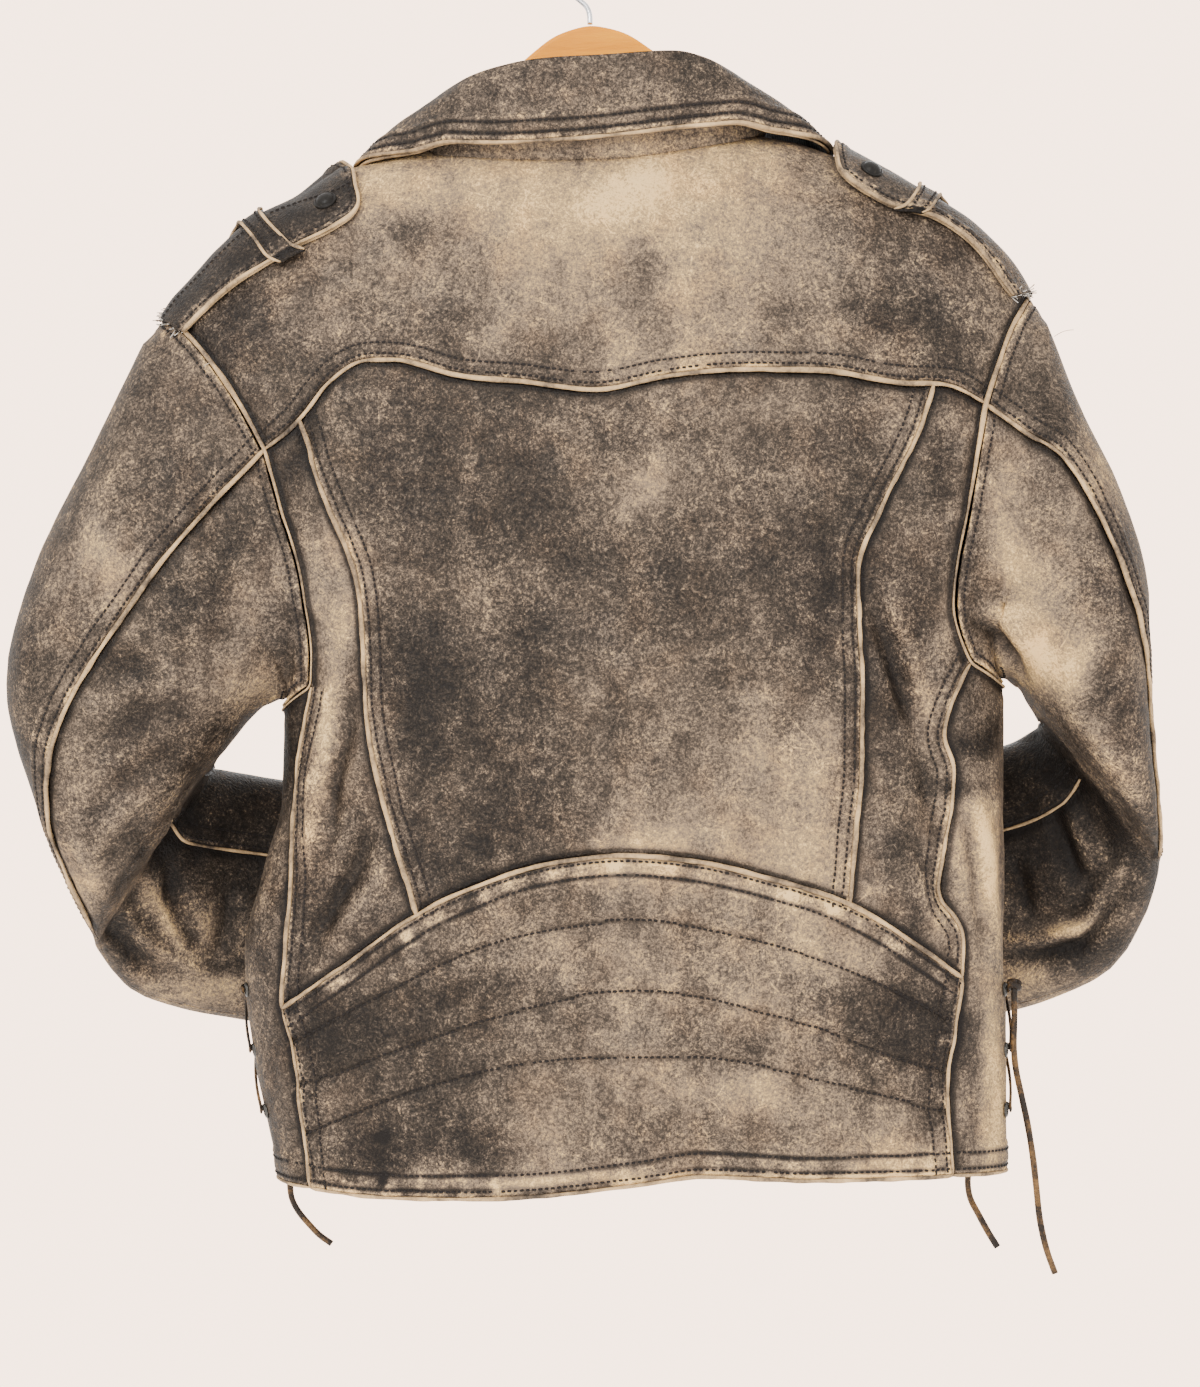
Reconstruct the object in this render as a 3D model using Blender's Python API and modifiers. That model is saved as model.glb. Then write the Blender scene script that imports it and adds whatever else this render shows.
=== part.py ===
"""Worn leather jacket hanging on a wooden hanger.

The wearer faces +Y, so the jacket's back faces -Y, its right side is +X, and +Z is up. The origin is the
inside top of the hanger's hook. Tables are in millimetres, and everything built from them is in metres.
"""

import math

import bmesh
import bpy
import numpy as np
from mathutils import Matrix, Vector

MM = 0.001

# Driving dimensions, in millimetres.
WALL = 1.8  # leather with its backing
SEAM_GAP = 0.6  # between the cut edges of two pieces
LAY_GAP = 0.35  # under a piece that lies on another
ROUNDNESS = 2.5  # exponent of the torso's rings: 2 is an ellipse, more is squarer
SLEEVE_ROUNDNESS = 2.4
ZIP_WIDTH = 9.0
SNAP_RADIUS = 6.5
EYELET_RADIUS = 4.5
LACE_RADIUS = 1.9
HOOK_WIRE = 1.6  # radius
HOOK_RADIUS = 20.0  # inside the hook's bend
STRAP_WALL = 2.6
STRAP_LIFT = 1.0  # between a shoulder strap and the leather under it
COLLAR_WALL = 2.2
COLLAR_LIFT = 2.0
ZIP_WALL = 1.6
SLIDER_HEIGHT = -232
SLIDER_THICKNESS = 3.0
BRIDGE = ((0.3, 5), (3.2, 4.6), (4.6, 3), (4.6, -3), (3.2, -4.6), (0.3, -5))  # out from the slider, and up
PULL_AXIS = 2.0  # how far the pull tab's pin stands out from the slider
PULL_WIDTH = 8.0
PULL_THICKNESS = 1.6
PULL_LENGTH = 30.0
KNOT_RADIUS = 4.0
LACING_POINTS = 4  # between one eyelet and the next
LACE_ANGLE = 8  # degrees from the side to either column of eyelets
HANGER_TILT = 2.3  # degrees, right end up
HOOK_START = 205
HOOK_END = -35

# Torso rings: height, the left and right ridge, and how far the back and the front stand out.
TORSO_COLUMNS = "height left right back front"
TORSO = (
    (-114, -50, 60, 18, 16),
    (-124, -80, 98, 29, 27),
    (-130, -97, 128, 35, 32),
    (-139, -124, 154, 40, 37),
    (-147, -147, 171, 44, 41),
    (-155, -160, 188, 48, 44),
    (-166, -178, 209, 51, 47),
    (-175, -197, 223, 54, 50),
    (-193, -219, 243, 58, 53),
    (-211, -236, 256, 61, 56),
    (-226, -249, 263, 65, 59),
    (-245, -257, 268, 68, 61),
    (-290, -254, 274, 73, 64),
    (-345, -232, 264, 77, 66),
    (-400, -204, 254, 79, 66),
    (-455, -184, 246, 79, 66),
    (-520, -182, 246, 77, 64),
    (-560, -193, 247, 75, 62),
    (-610, -205, 246, 73, 60),
    (-660, -200, 247, 72, 59),
    (-700, -193, 247, 71, 59),
    (-735, -186, 248, 71, 59),
    (-770, -182, 248, 70, 59),
)

# Seams as (x, height) seen from behind.
YOKE_SEAM = (
    (-189, -314), (-174, -303), (-162, -290), (-151, -276), (-140, -267), (-128, -263), (-113, -263),
    (-98, -266), (-80, -272), (-40, -276), (2, -281),
    (46, -273), (90, -269), (130, -269), (180, -276), (210, -277), (231, -287),
)
WAIST_SEAM = (
    (-180, -641), (-151, -620), (-100, -584), (-63, -566), (-29, -555), (20, -549), (64, -553),
    (98, -561), (150, -578), (198, -608), (218, -623),
)
HEM = ((-163, -746), (-120, -749), (-34, -747), (35, -739), (64, -735), (133, -738), (212, -738))
PRINCESS_LEFT = (
    (-168, -297), (-159, -326), (-150, -350), (-136, -384), (-131, -425), (-130, -460),
    (-122, -506), (-111, -547), (-100, -584),
)
PRINCESS_RIGHT = (
    (200, -277), (190, -306), (168, -350), (155, -384), (155, -414), (157, -448), (157, -494),
    (153, -541), (150, -578),
)
ARMHOLE_BACK_LEFT = (
    (-252, -231), (-236, -245), (-220, -264), (-204, -287), (-189, -314), (-179, -349), (-170, -378),
    (-165, -407), (-162, -432), (-163, -452),
)
ARMHOLE_BACK_RIGHT = (
    (261, -220), (249, -238), (240, -260), (231, -287), (225, -320), (220, -349), (214, -378),
    (211, -404), (215, -422), (222, -438),
)
ARMHOLE_FRONT_LEFT = ((-252, -231), (-222, -255), (-190, -300), (-170, -360), (-160, -415), (-163, -452))
ARMHOLE_FRONT_RIGHT = ((261, -220), (248, -250), (228, -295), (214, -350), (212, -402), (222, -438))
UNDERARM_LEFT = -466
UNDERARM_RIGHT = -452
SIDE_SEAM_LEFT = (
    (-163, -452), (-171, -495), (-173, -519), (-174, -548), (-175, -577), (-178, -606), (-180, -641),
)
SIDE_SEAM_RIGHT = (
    (222, -438), (211, -462), (206, -480), (212, -501), (211, -518), (206, -547), (204, -571),
    (217, -595), (218, -623),
)
BAND_SEAM_LEFT = ((-180, -641), (-172, -671), (-169, -700), (-163, -746))
BAND_SEAM_RIGHT = ((218, -623), (213, -653), (209, -690), (212, -738))
NECK_BACK = (
    (-97, -130), (-94, -137), (-75, -141), (-53, -143), (-17, -144), (18, -143), (53, -138), (78, -133),
    (92, -129), (98, -124),
)
NECK_FRONT_LEFT = ((-97, -130), (-88, -150), (-62, -183), (-25, -204), (6, -212))
NECK_FRONT_RIGHT = ((98, -124), (92, -148), (70, -180), (40, -202), (14, -212))
SIDE_FRONT_ANGLE = 118  # degrees round from centre back to the seam of side panel and front
HEM_FRONT = -743

# How many facets each stretch of seam gets. Neighbours share them, so that their cut edges meet.
SIDE_FACETS = 4
CENTRE_FACETS = 12
SHOULDER_FACETS = 5
NECK_FACETS = SIDE_FACETS * 2 + CENTRE_FACETS - SHOULDER_FACETS * 2
YOKE_ROWS = 6
ARMHOLE_ROWS = 5
SIDE_ROWS = 7
WAIST_ROWS = 4
UNDERARM_FACETS = 6
FRONT_NECK_FACETS = 5
FRONT_ARMHOLE_ROWS = 9

# Folds of the back: (x, height) of both ends, depth and width.
FOLD_COLUMNS = "x1 height1 x2 height2 depth width"
FOLDS = (
    (158, -385, 188, -455, 5, 13),
    (188, -455, 212, -580, 6, 15),
    (-120, -530, -168, -605, 6, 15),
    (-150, -470, -165, -560, 4, 12),
)

# Sleeve sections from the armhole to the cuff: the outer and inner edge, then their place in depth, half
# the section's depth, and the angle of the back seam round the section from its outer edge.
SLEEVE_COLUMNS = "outer_x outer_height inner_x inner_height y half_depth back_seam"
SLEEVE_LEFT = (
    (-266, -247, -176, -456, 0, 52, 89),
    (-299, -315, -192, -459, 0, 57, 87),
    (-332, -385, -206, -470, 0, 54, 84),
    (-347, -454, -218, -484, 2, 51, 73),
    (-343, -482, -223, -490, 4, 50, 63),
    (-334, -512, -227, -494, 7, 49, 47),
    (-324, -545, -230, -498, 11, 48, 30),
    (-312, -573, -232, -500, 16, 46, 26),
    (-302, -597, -233, -501, 24, 43, 24),
    (-300, -619, -238, -503, 64, 34, 22),
    (-285, -640, -238, -505, 76, 33, 20),
    (-259, -651, -232, -506, 84, 31, 20),
    (-214, -660, -204, -511, 95, 28, 20),
    (-133, -663, -133, -521, 99, 26, 20),
    (-35, -654, -35, -535, 98, 25, 20),
)
SLEEVE_RIGHT = (
    (271, -233, 237, -441, 0, 50, 77),
    (292, -288, 245, -444, 0, 56, 62),
    (315, -335, 253, -446, 0, 58, 61),
    (331, -388, 259, -451, 0, 60, 57),
    (332, -418, 262, -454, 0, 60, 47),
    (332, -451, 265, -459, 2, 60, 30),
    (335, -483, 268, -463, 5, 58, 25),
    (339, -514, 271, -467, 9, 54, 23),
    (343, -544, 274, -470, 18, 48, 22),
    (348, -568, 280, -474, 60, 37, 21),
    (343, -595, 281, -478, 76, 34, 20),
    (327, -624, 278, -481, 84, 32, 20),
    (283, -648, 263, -490, 94, 29, 20),
    (205, -658, 201, -506, 98, 27, 20),
    (60, -649, 60, -527, 97, 25, 20),
)
FRONT_SEAM_ANGLE = 285
# Gap between the sleeve and the body round the armhole, wider where they meet at a sharp angle in front.
ARMHOLE_GAP_COLUMNS = (0, 9, 15, 19, 22)
ARMHOLE_GAPS = (0.7, 0.7, 6.8, 6.8, 2.0)
ARMHOLE_RINGS = 3  # rings between the armhole and the first section

# Collar, from the left front round the back to the right front: the fold line and the leaf's outer edge.
COLLAR_COLUMNS = "fold_x fold_y fold_height edge_x edge_y edge_height"
COLLAR = (
    (-6, 66, -192, -52, 74, -252),
    (-60, 60, -158, -112, 68, -205),
    (-92, 34, -124, -132, 44, -160),
    (-97, -4, -113, -138, -6, -138),
    (-72, -36, -97, -98, -46, -132),
    (-40, -48, -88, -55, -58, -134),
    (5, -50, -84, 8, -60, -130),
    (48, -48, -81, 62, -58, -124),
    (80, -36, -92, 106, -46, -120),
    (100, -4, -106, 144, -6, -129),
    (98, 34, -118, 140, 44, -154),
    (70, 60, -152, 124, 66, -202),
    (26, 66, -192, 70, 74, -252),
)

# Shoulder straps: (x, height) along the back edge, from the neck end to the armhole.
STRAP_LEFT = ((-137, -173), (-154, -187), (-170, -195), (-186, -204), (-209, -219), (-237, -244))
STRAP_RIGHT = ((150, -156), (164, -166), (180, -173), (200, -177), (224, -193), (246, -222))
STRAP_RIDGE_LEFT = (-147, -228)  # heights along the ridge that the straps start and end at
STRAP_RIDGE_RIGHT = (-143, -217)

# Laces: the route of each free end, in order from where it leaves the jacket.
LACE_END_LEFT = (
    (-186.2, -15, -708), (-181, -14, -722), (-179, -12, -745), (-178, -10, -757), (-174, -10, -765),
    (-168, -11, -772), (-161, -12, -779), (-154, -12, -784),
)
LACE_END_RIGHT = (
    (242, -15, -702), (237, -14, -717), (230, -12, -733), (225.5, -10, -746), (227, -9, -757),
    (232, -10, -767), (238, -11, -778), (243, -12, -786),
)
LACE_LONG_RIGHT = (
    (252, -20, -633.5), (252, -21, -646), (251.5, -21, -661), (252.5, -21, -677), (256, -21, -694),
    (260, -21, -713), (263, -21, -732), (265, -21, -750), (267, -21, -768), (271, -21, -786), (276, -21, -800),
)
LACE_KNOT = (252, -20.5, -629)
LACE_ROWS = 3
LACE_TOP = -632
LACE_PITCH = 36

SNAP_LEFT = (-157, -166)
SNAP_RIGHT = (166, -146)

# Hanger outline from the middle out to the right end and back, as (x, height) before it is tilted.
HANGER_TOP = (
    (0, -55), (22, -61), (44, -78), (70, -105), (96, -134), (120, -140), (140, -146), (175, -164), (205, -183),
)
HANGER_BOTTOM = ((208, -184), (200, -192), (170, -180), (130, -170), (80, -156), (40, -132), (0, -120))
HANGER_THICKNESS = 12.0


def table(columns, rows):
    """The rows as one array of metres for each named column."""
    values = np.array(rows, float) * MM
    return {name: values[:, i] for i, name in enumerate(columns.split())}


def smooth(at, places, values):
    """A smooth curve through values at increasing places, which never overshoots between two of them."""
    places, values = np.asarray(places, float), np.asarray(values, float)
    steps = np.diff(values) / np.diff(places)
    slopes = np.concatenate([steps[:1], (steps[1:] + steps[:-1]) / 2, steps[-1:]])
    slopes[1:-1][steps[1:] * steps[:-1] <= 0] = 0
    at = np.clip(np.asarray(at, float), places[0], places[-1])
    i = np.clip(np.searchsorted(places, at) - 1, 0, len(places) - 2)
    span = places[i + 1] - places[i]
    t = (at - places[i]) / span
    start = (2 * t**3 - 3 * t**2 + 1) * values[i] + (t**3 - 2 * t**2 + t) * span * slopes[i]
    return start + (3 * t**2 - 2 * t**3) * values[i + 1] + (t**3 - t**2) * span * slopes[i + 1]


def signed_power(value, power):
    return np.sign(value) * np.abs(value) ** power


RINGS = {name: column[::-1] for name, column in table(TORSO_COLUMNS, TORSO).items()}


def ring(height):
    """Centre, half width, back depth and front depth of the torso at a height."""
    left, right, back, front = (smooth(height, RINGS["height"], RINGS[k]) for k in TORSO_COLUMNS.split()[1:])
    return (left + right) / 2, (right - left) / 2, back, front


def angle_at(x, height, front=False):
    """Angle round the torso of the point that is at x when seen from behind, or from in front."""
    centre, half, _, _ = ring(height)
    angle = np.arcsin(signed_power(np.clip((x - centre) / half, -1, 1), ROUNDNESS / 2))
    if not front:
        return angle
    return np.where(angle < 0, -math.pi - angle, math.pi - angle)


def fold_depth(x, height):
    """How far the back is pressed in by its folds."""
    folds = table(FOLD_COLUMNS, FOLDS)
    depth = 0 * x
    for x1, z1, x2, z2, deep, wide in zip(*(folds[k] for k in FOLD_COLUMNS.split())):
        along = ((x - x1) * (x2 - x1) + (height - z1) * (z2 - z1)) / ((x2 - x1) ** 2 + (z2 - z1) ** 2)
        along = np.clip(along, 0, 1)
        away = np.hypot(x - x1 - along * (x2 - x1), height - z1 - along * (z2 - z1))
        depth = depth + deep * np.exp(-((away / wide) ** 2))
    return depth


def torso(angle, height, out=0.0):
    """Point of the jacket's inner surface, moved out: angle 0 is centre back, and 90 degrees is a side."""
    centre, half, back, front = ring(height)
    x = centre + (half + out) * signed_power(np.sin(angle), 2 / ROUNDNESS)
    depth = np.where(np.cos(angle) > 0, back, front) + out
    y = -depth * signed_power(np.cos(angle), 2 / ROUNDNESS)
    y = y + np.where(np.cos(angle) > 0, fold_depth(x, height) * np.clip(-y / depth, 0, 1), 0)
    return np.stack([x, y, height + 0 * angle], axis=-1)


def along(points, count):
    """count + 1 points spaced evenly along a smooth line through the given ones."""
    points = np.asarray(points, float)
    place = np.concatenate([[0], np.cumsum(np.linalg.norm(np.diff(points, axis=0), axis=1))])
    even = np.linspace(0, place[-1], count + 1)
    return np.stack([smooth(even, place, points[:, i]) for i in range(points.shape[1])], axis=-1)


def seam(points, count, front=False):
    """A seam given as (x, height) in millimetres, as count + 1 rows of angle and height."""
    line = along(np.array(points, float) * MM, count)
    return np.stack([angle_at(line[:, 0], line[:, 1], front), line[:, 1]], axis=-1)


def ridge_heights(side, start, end, count):
    """Heights of count + 1 points spaced evenly along the left or right ridge between two heights."""
    heights = np.linspace(start, end, 200)
    centre, half, _, _ = ring(heights)
    length = np.concatenate([[0], np.cumsum(np.hypot(np.diff(centre + side * half), np.diff(heights)))])
    return np.interp(np.linspace(0, length[-1], count + 1), length, heights)


def joined(*lines):
    """Lines end to end as one, without repeating the points they share."""
    return np.concatenate([lines[0]] + [line[1:] for line in lines[1:]])


def cross_seam(points, cuts):
    """A seam across the back, cut at two x places into its side, centre and side facets."""
    dense = along(np.array(points, float) * MM, 200)
    stops = [0, *(int(np.argmin(np.abs(dense[:, 0] - x * MM))) for x in cuts), len(dense) - 1]
    counts = (SIDE_FACETS, CENTRE_FACETS, SIDE_FACETS)
    return joined(*(seam(dense[a : b + 1] / MM, n) for a, b, n in zip(stops, stops[1:], counts)))


def patch(bottom, top, left, right):
    """The grid between four edges: bottom and top run left to right, left and right run bottom to top."""
    u = np.linspace(0, 1, len(bottom))[None, :, None]
    v = np.linspace(0, 1, len(left))[:, None, None]
    rows = (1 - v) * bottom[None] + v * top[None]
    columns = (1 - u) * left[:, None] + u * right[:, None]
    corners = (1 - v) * ((1 - u) * bottom[0] + u * bottom[-1]) + v * ((1 - u) * top[0] + u * top[-1])
    return rows + columns - corners


def drawn_in(grid, gap):
    """The grid with its edges drawn in by a gap, so that a neighbour's edge stays clear of it."""
    grid = grid.copy()
    for axis in (0, 1):
        ends = np.moveaxis(grid, axis, 0)
        for edge, inner in ((0, 1), (-1, -2)):
            inwards = ends[inner] - ends[edge]
            ends[edge] += gap * inwards / np.maximum(np.linalg.norm(inwards, axis=-1, keepdims=True), 1e-9)
    return grid


def material(name, colour, roughness, metallic=0.0):
    made = bpy.data.materials.new(name)
    made.use_nodes = True
    shader = made.node_tree.nodes["Principled BSDF"]
    shader.inputs["Base Color"].default_value = (*colour, 1)
    shader.inputs["Roughness"].default_value = roughness
    shader.inputs["Metallic"].default_value = metallic
    return made


def add(name, data, finish):
    obj = bpy.data.objects.new(name, data)
    data.materials.append(finish)
    COLLECTION.objects.link(obj)
    return obj


def cloth(name, grid, finish, wall=WALL):
    """A sheet of quads through the grid, given its wall with Solidify."""
    rows, columns = grid.shape[:2]
    vertices = [tuple(p) for p in grid.reshape(-1, 3)]
    faces = []
    for i in range(rows - 1):
        for j in range(columns - 1):
            k = i * columns + j
            faces.append((k, k + 1, k + columns + 1, k + columns))
    mesh = bpy.data.meshes.new(name)
    mesh.from_pydata(vertices, [], faces)
    obj = add(name, mesh, finish)
    solidify = obj.modifiers.new("wall", "SOLIDIFY")
    solidify.thickness = wall * MM
    solidify.offset = 1.0
    return obj


def tube(name, points, radius, finish, sides=2):
    """A round wire or lace through points in metres."""
    curve = bpy.data.curves.new(name, "CURVE")
    curve.dimensions = "3D"
    curve.bevel_depth = radius * MM
    curve.bevel_resolution = sides
    curve.use_fill_caps = True
    spline = curve.splines.new("POLY")
    spline.points.add(len(points) - 1)
    for point, place in zip(spline.points, points):
        point.co = (*place, 1)
    return add(name, curve, finish)


def plate(name, outline, thickness, place, turn, finish, bevel=0.0):
    """A flat outline in millimetres, drawn in its own XY plane, with rounded edges."""
    curve = bpy.data.curves.new(name, "CURVE")
    curve.dimensions = "2D"
    curve.fill_mode = "BOTH"
    curve.extrude = (thickness / 2 - bevel) * MM
    curve.bevel_depth = bevel * MM
    curve.bevel_resolution = 1
    curve.offset = -bevel * MM
    spline = curve.splines.new("POLY")
    spline.points.add(len(outline) - 1)
    for point, (x, y) in zip(spline.points, outline):
        point.co = (x * MM, y * MM, 0, 1)
    spline.use_cyclic_u = True
    obj = add(name, curve, finish)
    obj.matrix_world = Matrix.Translation(Vector(place)) @ turn.to_4x4()
    return obj


def turned(name, profile, place, axis, finish, steps=16):
    """A Screw of (radius, height) profile points in millimetres, top to bottom, standing along an axis."""
    mesh = bpy.data.meshes.new(name)
    mesh.from_pydata(
        [(r * MM, 0, h * MM) for r, h in profile], [], [(i, i + 1) for i in range(len(profile) - 1)]
    )
    obj = add(name, mesh, finish)
    screw = obj.modifiers.new("turn", "SCREW")
    screw.steps = screw.render_steps = steps
    screw.use_merge_vertices = True
    screw.merge_threshold = 0.00001
    turn = Vector(axis).to_track_quat("Z", "Y").to_matrix().to_4x4()
    obj.matrix_world = Matrix.Translation(Vector(place)) @ turn
    return obj


def raised(angle, height, out):
    """Points a distance in metres straight out from the torso's surface."""
    step = 1e-4
    across = torso(angle + step, height) - torso(angle - step, height)
    up = torso(angle, height + step) - torso(angle, height - step)
    normal = np.cross(across, up)
    return torso(angle, height) + out * normal / np.linalg.norm(normal, axis=-1, keepdims=True)


def make_torso():
    """Every panel of the body, and the neck and armhole edges as points for the collar and the sleeves."""
    yoke = cross_seam(YOKE_SEAM, (PRINCESS_LEFT[0][0], PRINCESS_RIGHT[0][0]))
    waist = cross_seam(WAIST_SEAM, (PRINCESS_LEFT[-1][0], PRINCESS_RIGHT[-1][0]))
    split = (SIDE_FACETS, SIDE_FACETS + CENTRE_FACETS)
    inner_rows = ARMHOLE_ROWS + SIDE_ROWS
    princess = []
    for points, place in ((PRINCESS_LEFT, split[0]), (PRINCESS_RIGHT, split[1])):
        line = seam(points, inner_rows)
        line[0], line[-1] = yoke[place], waist[place]
        princess.append(line[::-1])
    sides = (
        ("left", -1, ARMHOLE_BACK_LEFT, ARMHOLE_FRONT_LEFT, UNDERARM_LEFT, SIDE_SEAM_LEFT, BAND_SEAM_LEFT),
        ("right", 1, ARMHOLE_BACK_RIGHT, ARMHOLE_FRONT_RIGHT, UNDERARM_RIGHT, SIDE_SEAM_RIGHT, BAND_SEAM_RIGHT),
    )
    neck_back = seam(NECK_BACK, NECK_FACETS)
    neck_back[0, 0], neck_back[-1, 0] = -math.pi / 2, math.pi / 2
    hem_back = cross_seam(HEM, (PRINCESS_LEFT[-1][0], PRINCESS_RIGHT[-1][0]))
    edges = {}
    for name, side, armhole, armhole_front, underarm, side_seam, band_seam in sides:
        end = 0 if side < 0 else -1
        yoke_end = next(i for i, p in enumerate(armhole) if abs(p[0] - YOKE_SEAM[end][0]) < 1)
        yoke_side = seam(armhole[: yoke_end + 1], YOKE_ROWS)
        yoke_side[0, 0] = side * math.pi / 2
        lower = seam(armhole[yoke_end:], ARMHOLE_ROWS)
        side_line = seam(side_seam, SIDE_ROWS)
        band = seam(band_seam, WAIST_ROWS)
        yoke_side[-1] = lower[0] = yoke[end]
        side_line[-1] = band[0] = waist[end]
        band[-1] = hem_back[end]
        side_line[0] = lower[-1]
        front_top = side * math.radians(SIDE_FRONT_ANGLE)
        turn = np.linspace(lower[-1][0], front_top, UNDERARM_FACETS + 1)
        dip = np.sin(np.linspace(0, math.pi, UNDERARM_FACETS + 1))
        under = np.stack([turn, lower[-1][1] + (underarm * MM - lower[-1][1]) * dip], axis=-1)
        heights = joined(side_line, band)[:, 1]
        heights = np.linspace(under[-1][1], HEM_FRONT * MM, len(heights))
        side_front = np.stack([np.full(len(heights), front_top), heights], axis=-1)
        front_line = seam(armhole_front, FRONT_ARMHOLE_ROWS, front=True)
        front_line[0, 0] = side * math.pi / 2
        front_line[-1] = under[-1]
        edges[name] = dict(
            yoke_side=yoke_side, lower=lower, side=side_line, band=band, under=under,
            side_front=side_front, front=front_line,
        )
    left, right = edges["left"], edges["right"]
    shoulders = {}
    for name, side, end in (("left", -1, 0), ("right", 1, -1)):
        heights = ridge_heights(side, edges[name]["yoke_side"][0][1], neck_back[end][1], SHOULDER_FACETS)
        shoulders[name] = np.stack([np.full(len(heights), side * math.pi / 2), heights], axis=-1)
    yoke_top = joined(shoulders["left"], neck_back, shoulders["right"][::-1])
    panels = {
        "back_yoke": patch(yoke, yoke_top, left["yoke_side"][::-1], right["yoke_side"][::-1]),
        "back_centre": patch(waist[split[0]:split[1] + 1], yoke[split[0]:split[1] + 1], *princess),
        "back_side_left": patch(
            waist[: split[0] + 1], yoke[: split[0] + 1], joined(left["lower"], left["side"])[::-1], princess[0]
        ),
        "back_side_right": patch(
            waist[split[1]:], yoke[split[1]:], princess[1], joined(right["lower"], right["side"])[::-1]
        ),
        "waist_panel_back": patch(hem_back, waist, left["band"][::-1], right["band"][::-1]),
    }
    neck = [neck_back]
    for name, side, points in (("left", -1, NECK_FRONT_LEFT), ("right", 1, NECK_FRONT_RIGHT)):
        edge = edges[name]
        back_edge = joined(edge["side"], edge["band"])
        hem_height = np.linspace(back_edge[-1][1], HEM_FRONT * MM, UNDERARM_FACETS + 1)
        hem_angle = np.linspace(back_edge[-1][0], edge["side_front"][-1][0], UNDERARM_FACETS + 1)
        hem = np.stack([hem_angle, hem_height], axis=-1)
        grid = (hem, edge["under"], back_edge[::-1], edge["side_front"][::-1])
        if side < 0:
            grid = (hem[::-1], edge["under"][::-1], grid[3], grid[2])
        panels[f"side_panel_{name}"] = patch(*grid)
        front_neck = seam(points, FRONT_NECK_FACETS, front=True)
        front_neck[0] = neck_back[0 if side < 0 else -1]
        heights = np.linspace(front_neck[-1][1], HEM_FRONT * MM, len(back_edge) + FRONT_ARMHOLE_ROWS)
        _, half, _, _ = ring(heights)
        edge_angle = np.arcsin((ZIP_WIDTH / 2 * MM / half) ** (ROUNDNESS / 2))
        centre_front = np.stack([side * (math.pi - edge_angle), heights], axis=-1)
        front_neck[-1] = centre_front[0]
        top = joined(shoulders[name], front_neck)
        hem_turn = np.linspace(edge["side_front"][-1][0], centre_front[-1][0], len(top))
        hem_front = np.stack([hem_turn, np.full(len(top), HEM_FRONT * MM)], axis=-1)
        outer = joined(edge["front"], edge["side_front"])[::-1]
        grid = (hem_front, top, outer, centre_front[::-1])
        if side < 0:
            grid = (hem_front[::-1], top[::-1], grid[3], grid[2])
        panels[f"front_{name}"] = patch(*grid)
        neck.append(front_neck)
    for name, grid in panels.items():
        points = drawn_in(torso(grid[..., 0], grid[..., 1]), SEAM_GAP / 2 * MM)
        cloth(name, points, LEATHER_DARK if "front" in name else LEATHER)
    neck_line = joined(neck[1][::-1], neck[0], neck[2])
    loops = {}
    for name in ("left", "right"):
        edge = edges[name]
        loops[name] = joined(edge["yoke_side"], edge["lower"], edge["under"], edge["front"][::-1])[:-1]
    return neck_line, loops


def sleeve_ring(row, angles):
    """Points of one sleeve section at the given angles: 0 is the outer edge, and 90 degrees faces back."""
    outer = np.array([row["outer_x"], row["y"], row["outer_height"]])
    inner = np.array([row["inner_x"], row["y"], row["inner_height"]])
    across = (outer - inner) / 2
    depth = np.array([0, -row["half_depth"], 0])
    cosine = signed_power(np.cos(angles), 2 / SLEEVE_ROUNDNESS)[:, None]
    sine = signed_power(np.sin(angles), 2 / SLEEVE_ROUNDNESS)[:, None]
    return (outer + inner) / 2 + cosine * across + sine * depth


def make_sleeve(name, rows, loop):
    """Top and under sleeve as one tube from the armhole, cut along its two seams."""
    columns = SLEEVE_COLUMNS.split()
    lengths = table(SLEEVE_COLUMNS, rows)
    count = len(loop)
    back_column = YOKE_ROWS
    front_column = count - FRONT_ARMHOLE_ROWS // 2
    armhole = torso(loop[:, 0], loop[:, 1])
    rings = []
    for i, row in enumerate(rows):
        values = {k: lengths[k][i] for k in columns}
        back = math.radians(row[-1])
        front = math.radians(FRONT_SEAM_ANGLE)
        angles = np.concatenate([
            np.linspace(0, back, back_column + 1)[:-1],
            np.linspace(back, front, front_column - back_column + 1)[:-1],
            np.linspace(front, 2 * math.pi, count - front_column + 1)[:-1],
        ])
        rings.append(sleeve_ring(values, angles))
    towards = rings[0] - armhole
    towards /= np.linalg.norm(towards, axis=1, keepdims=True)
    steep = np.interp(np.arange(count), ARMHOLE_GAP_COLUMNS, ARMHOLE_GAPS)[:, None]
    start = armhole + steep * MM * towards
    blend = [start + (rings[0] - start) * (k / ARMHOLE_RINGS) for k in range(ARMHOLE_RINGS)]
    grid = np.array(blend + rings)
    if name == "left":
        grid = grid[:, ::-1]
        back_column, front_column = count - 1 - back_column, count - 1 - front_column
    first, last = sorted((back_column, front_column))
    wrapped = np.concatenate([grid[:, last:], grid[:, : first + 1]], axis=1)
    inside = grid[:, first: last + 1]
    for piece, points in (("top", wrapped), ("under", inside)):
        cloth(f"{piece}_sleeve_{name}", drawn_in(points, SEAM_GAP / 2 * MM), LEATHER)


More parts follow.
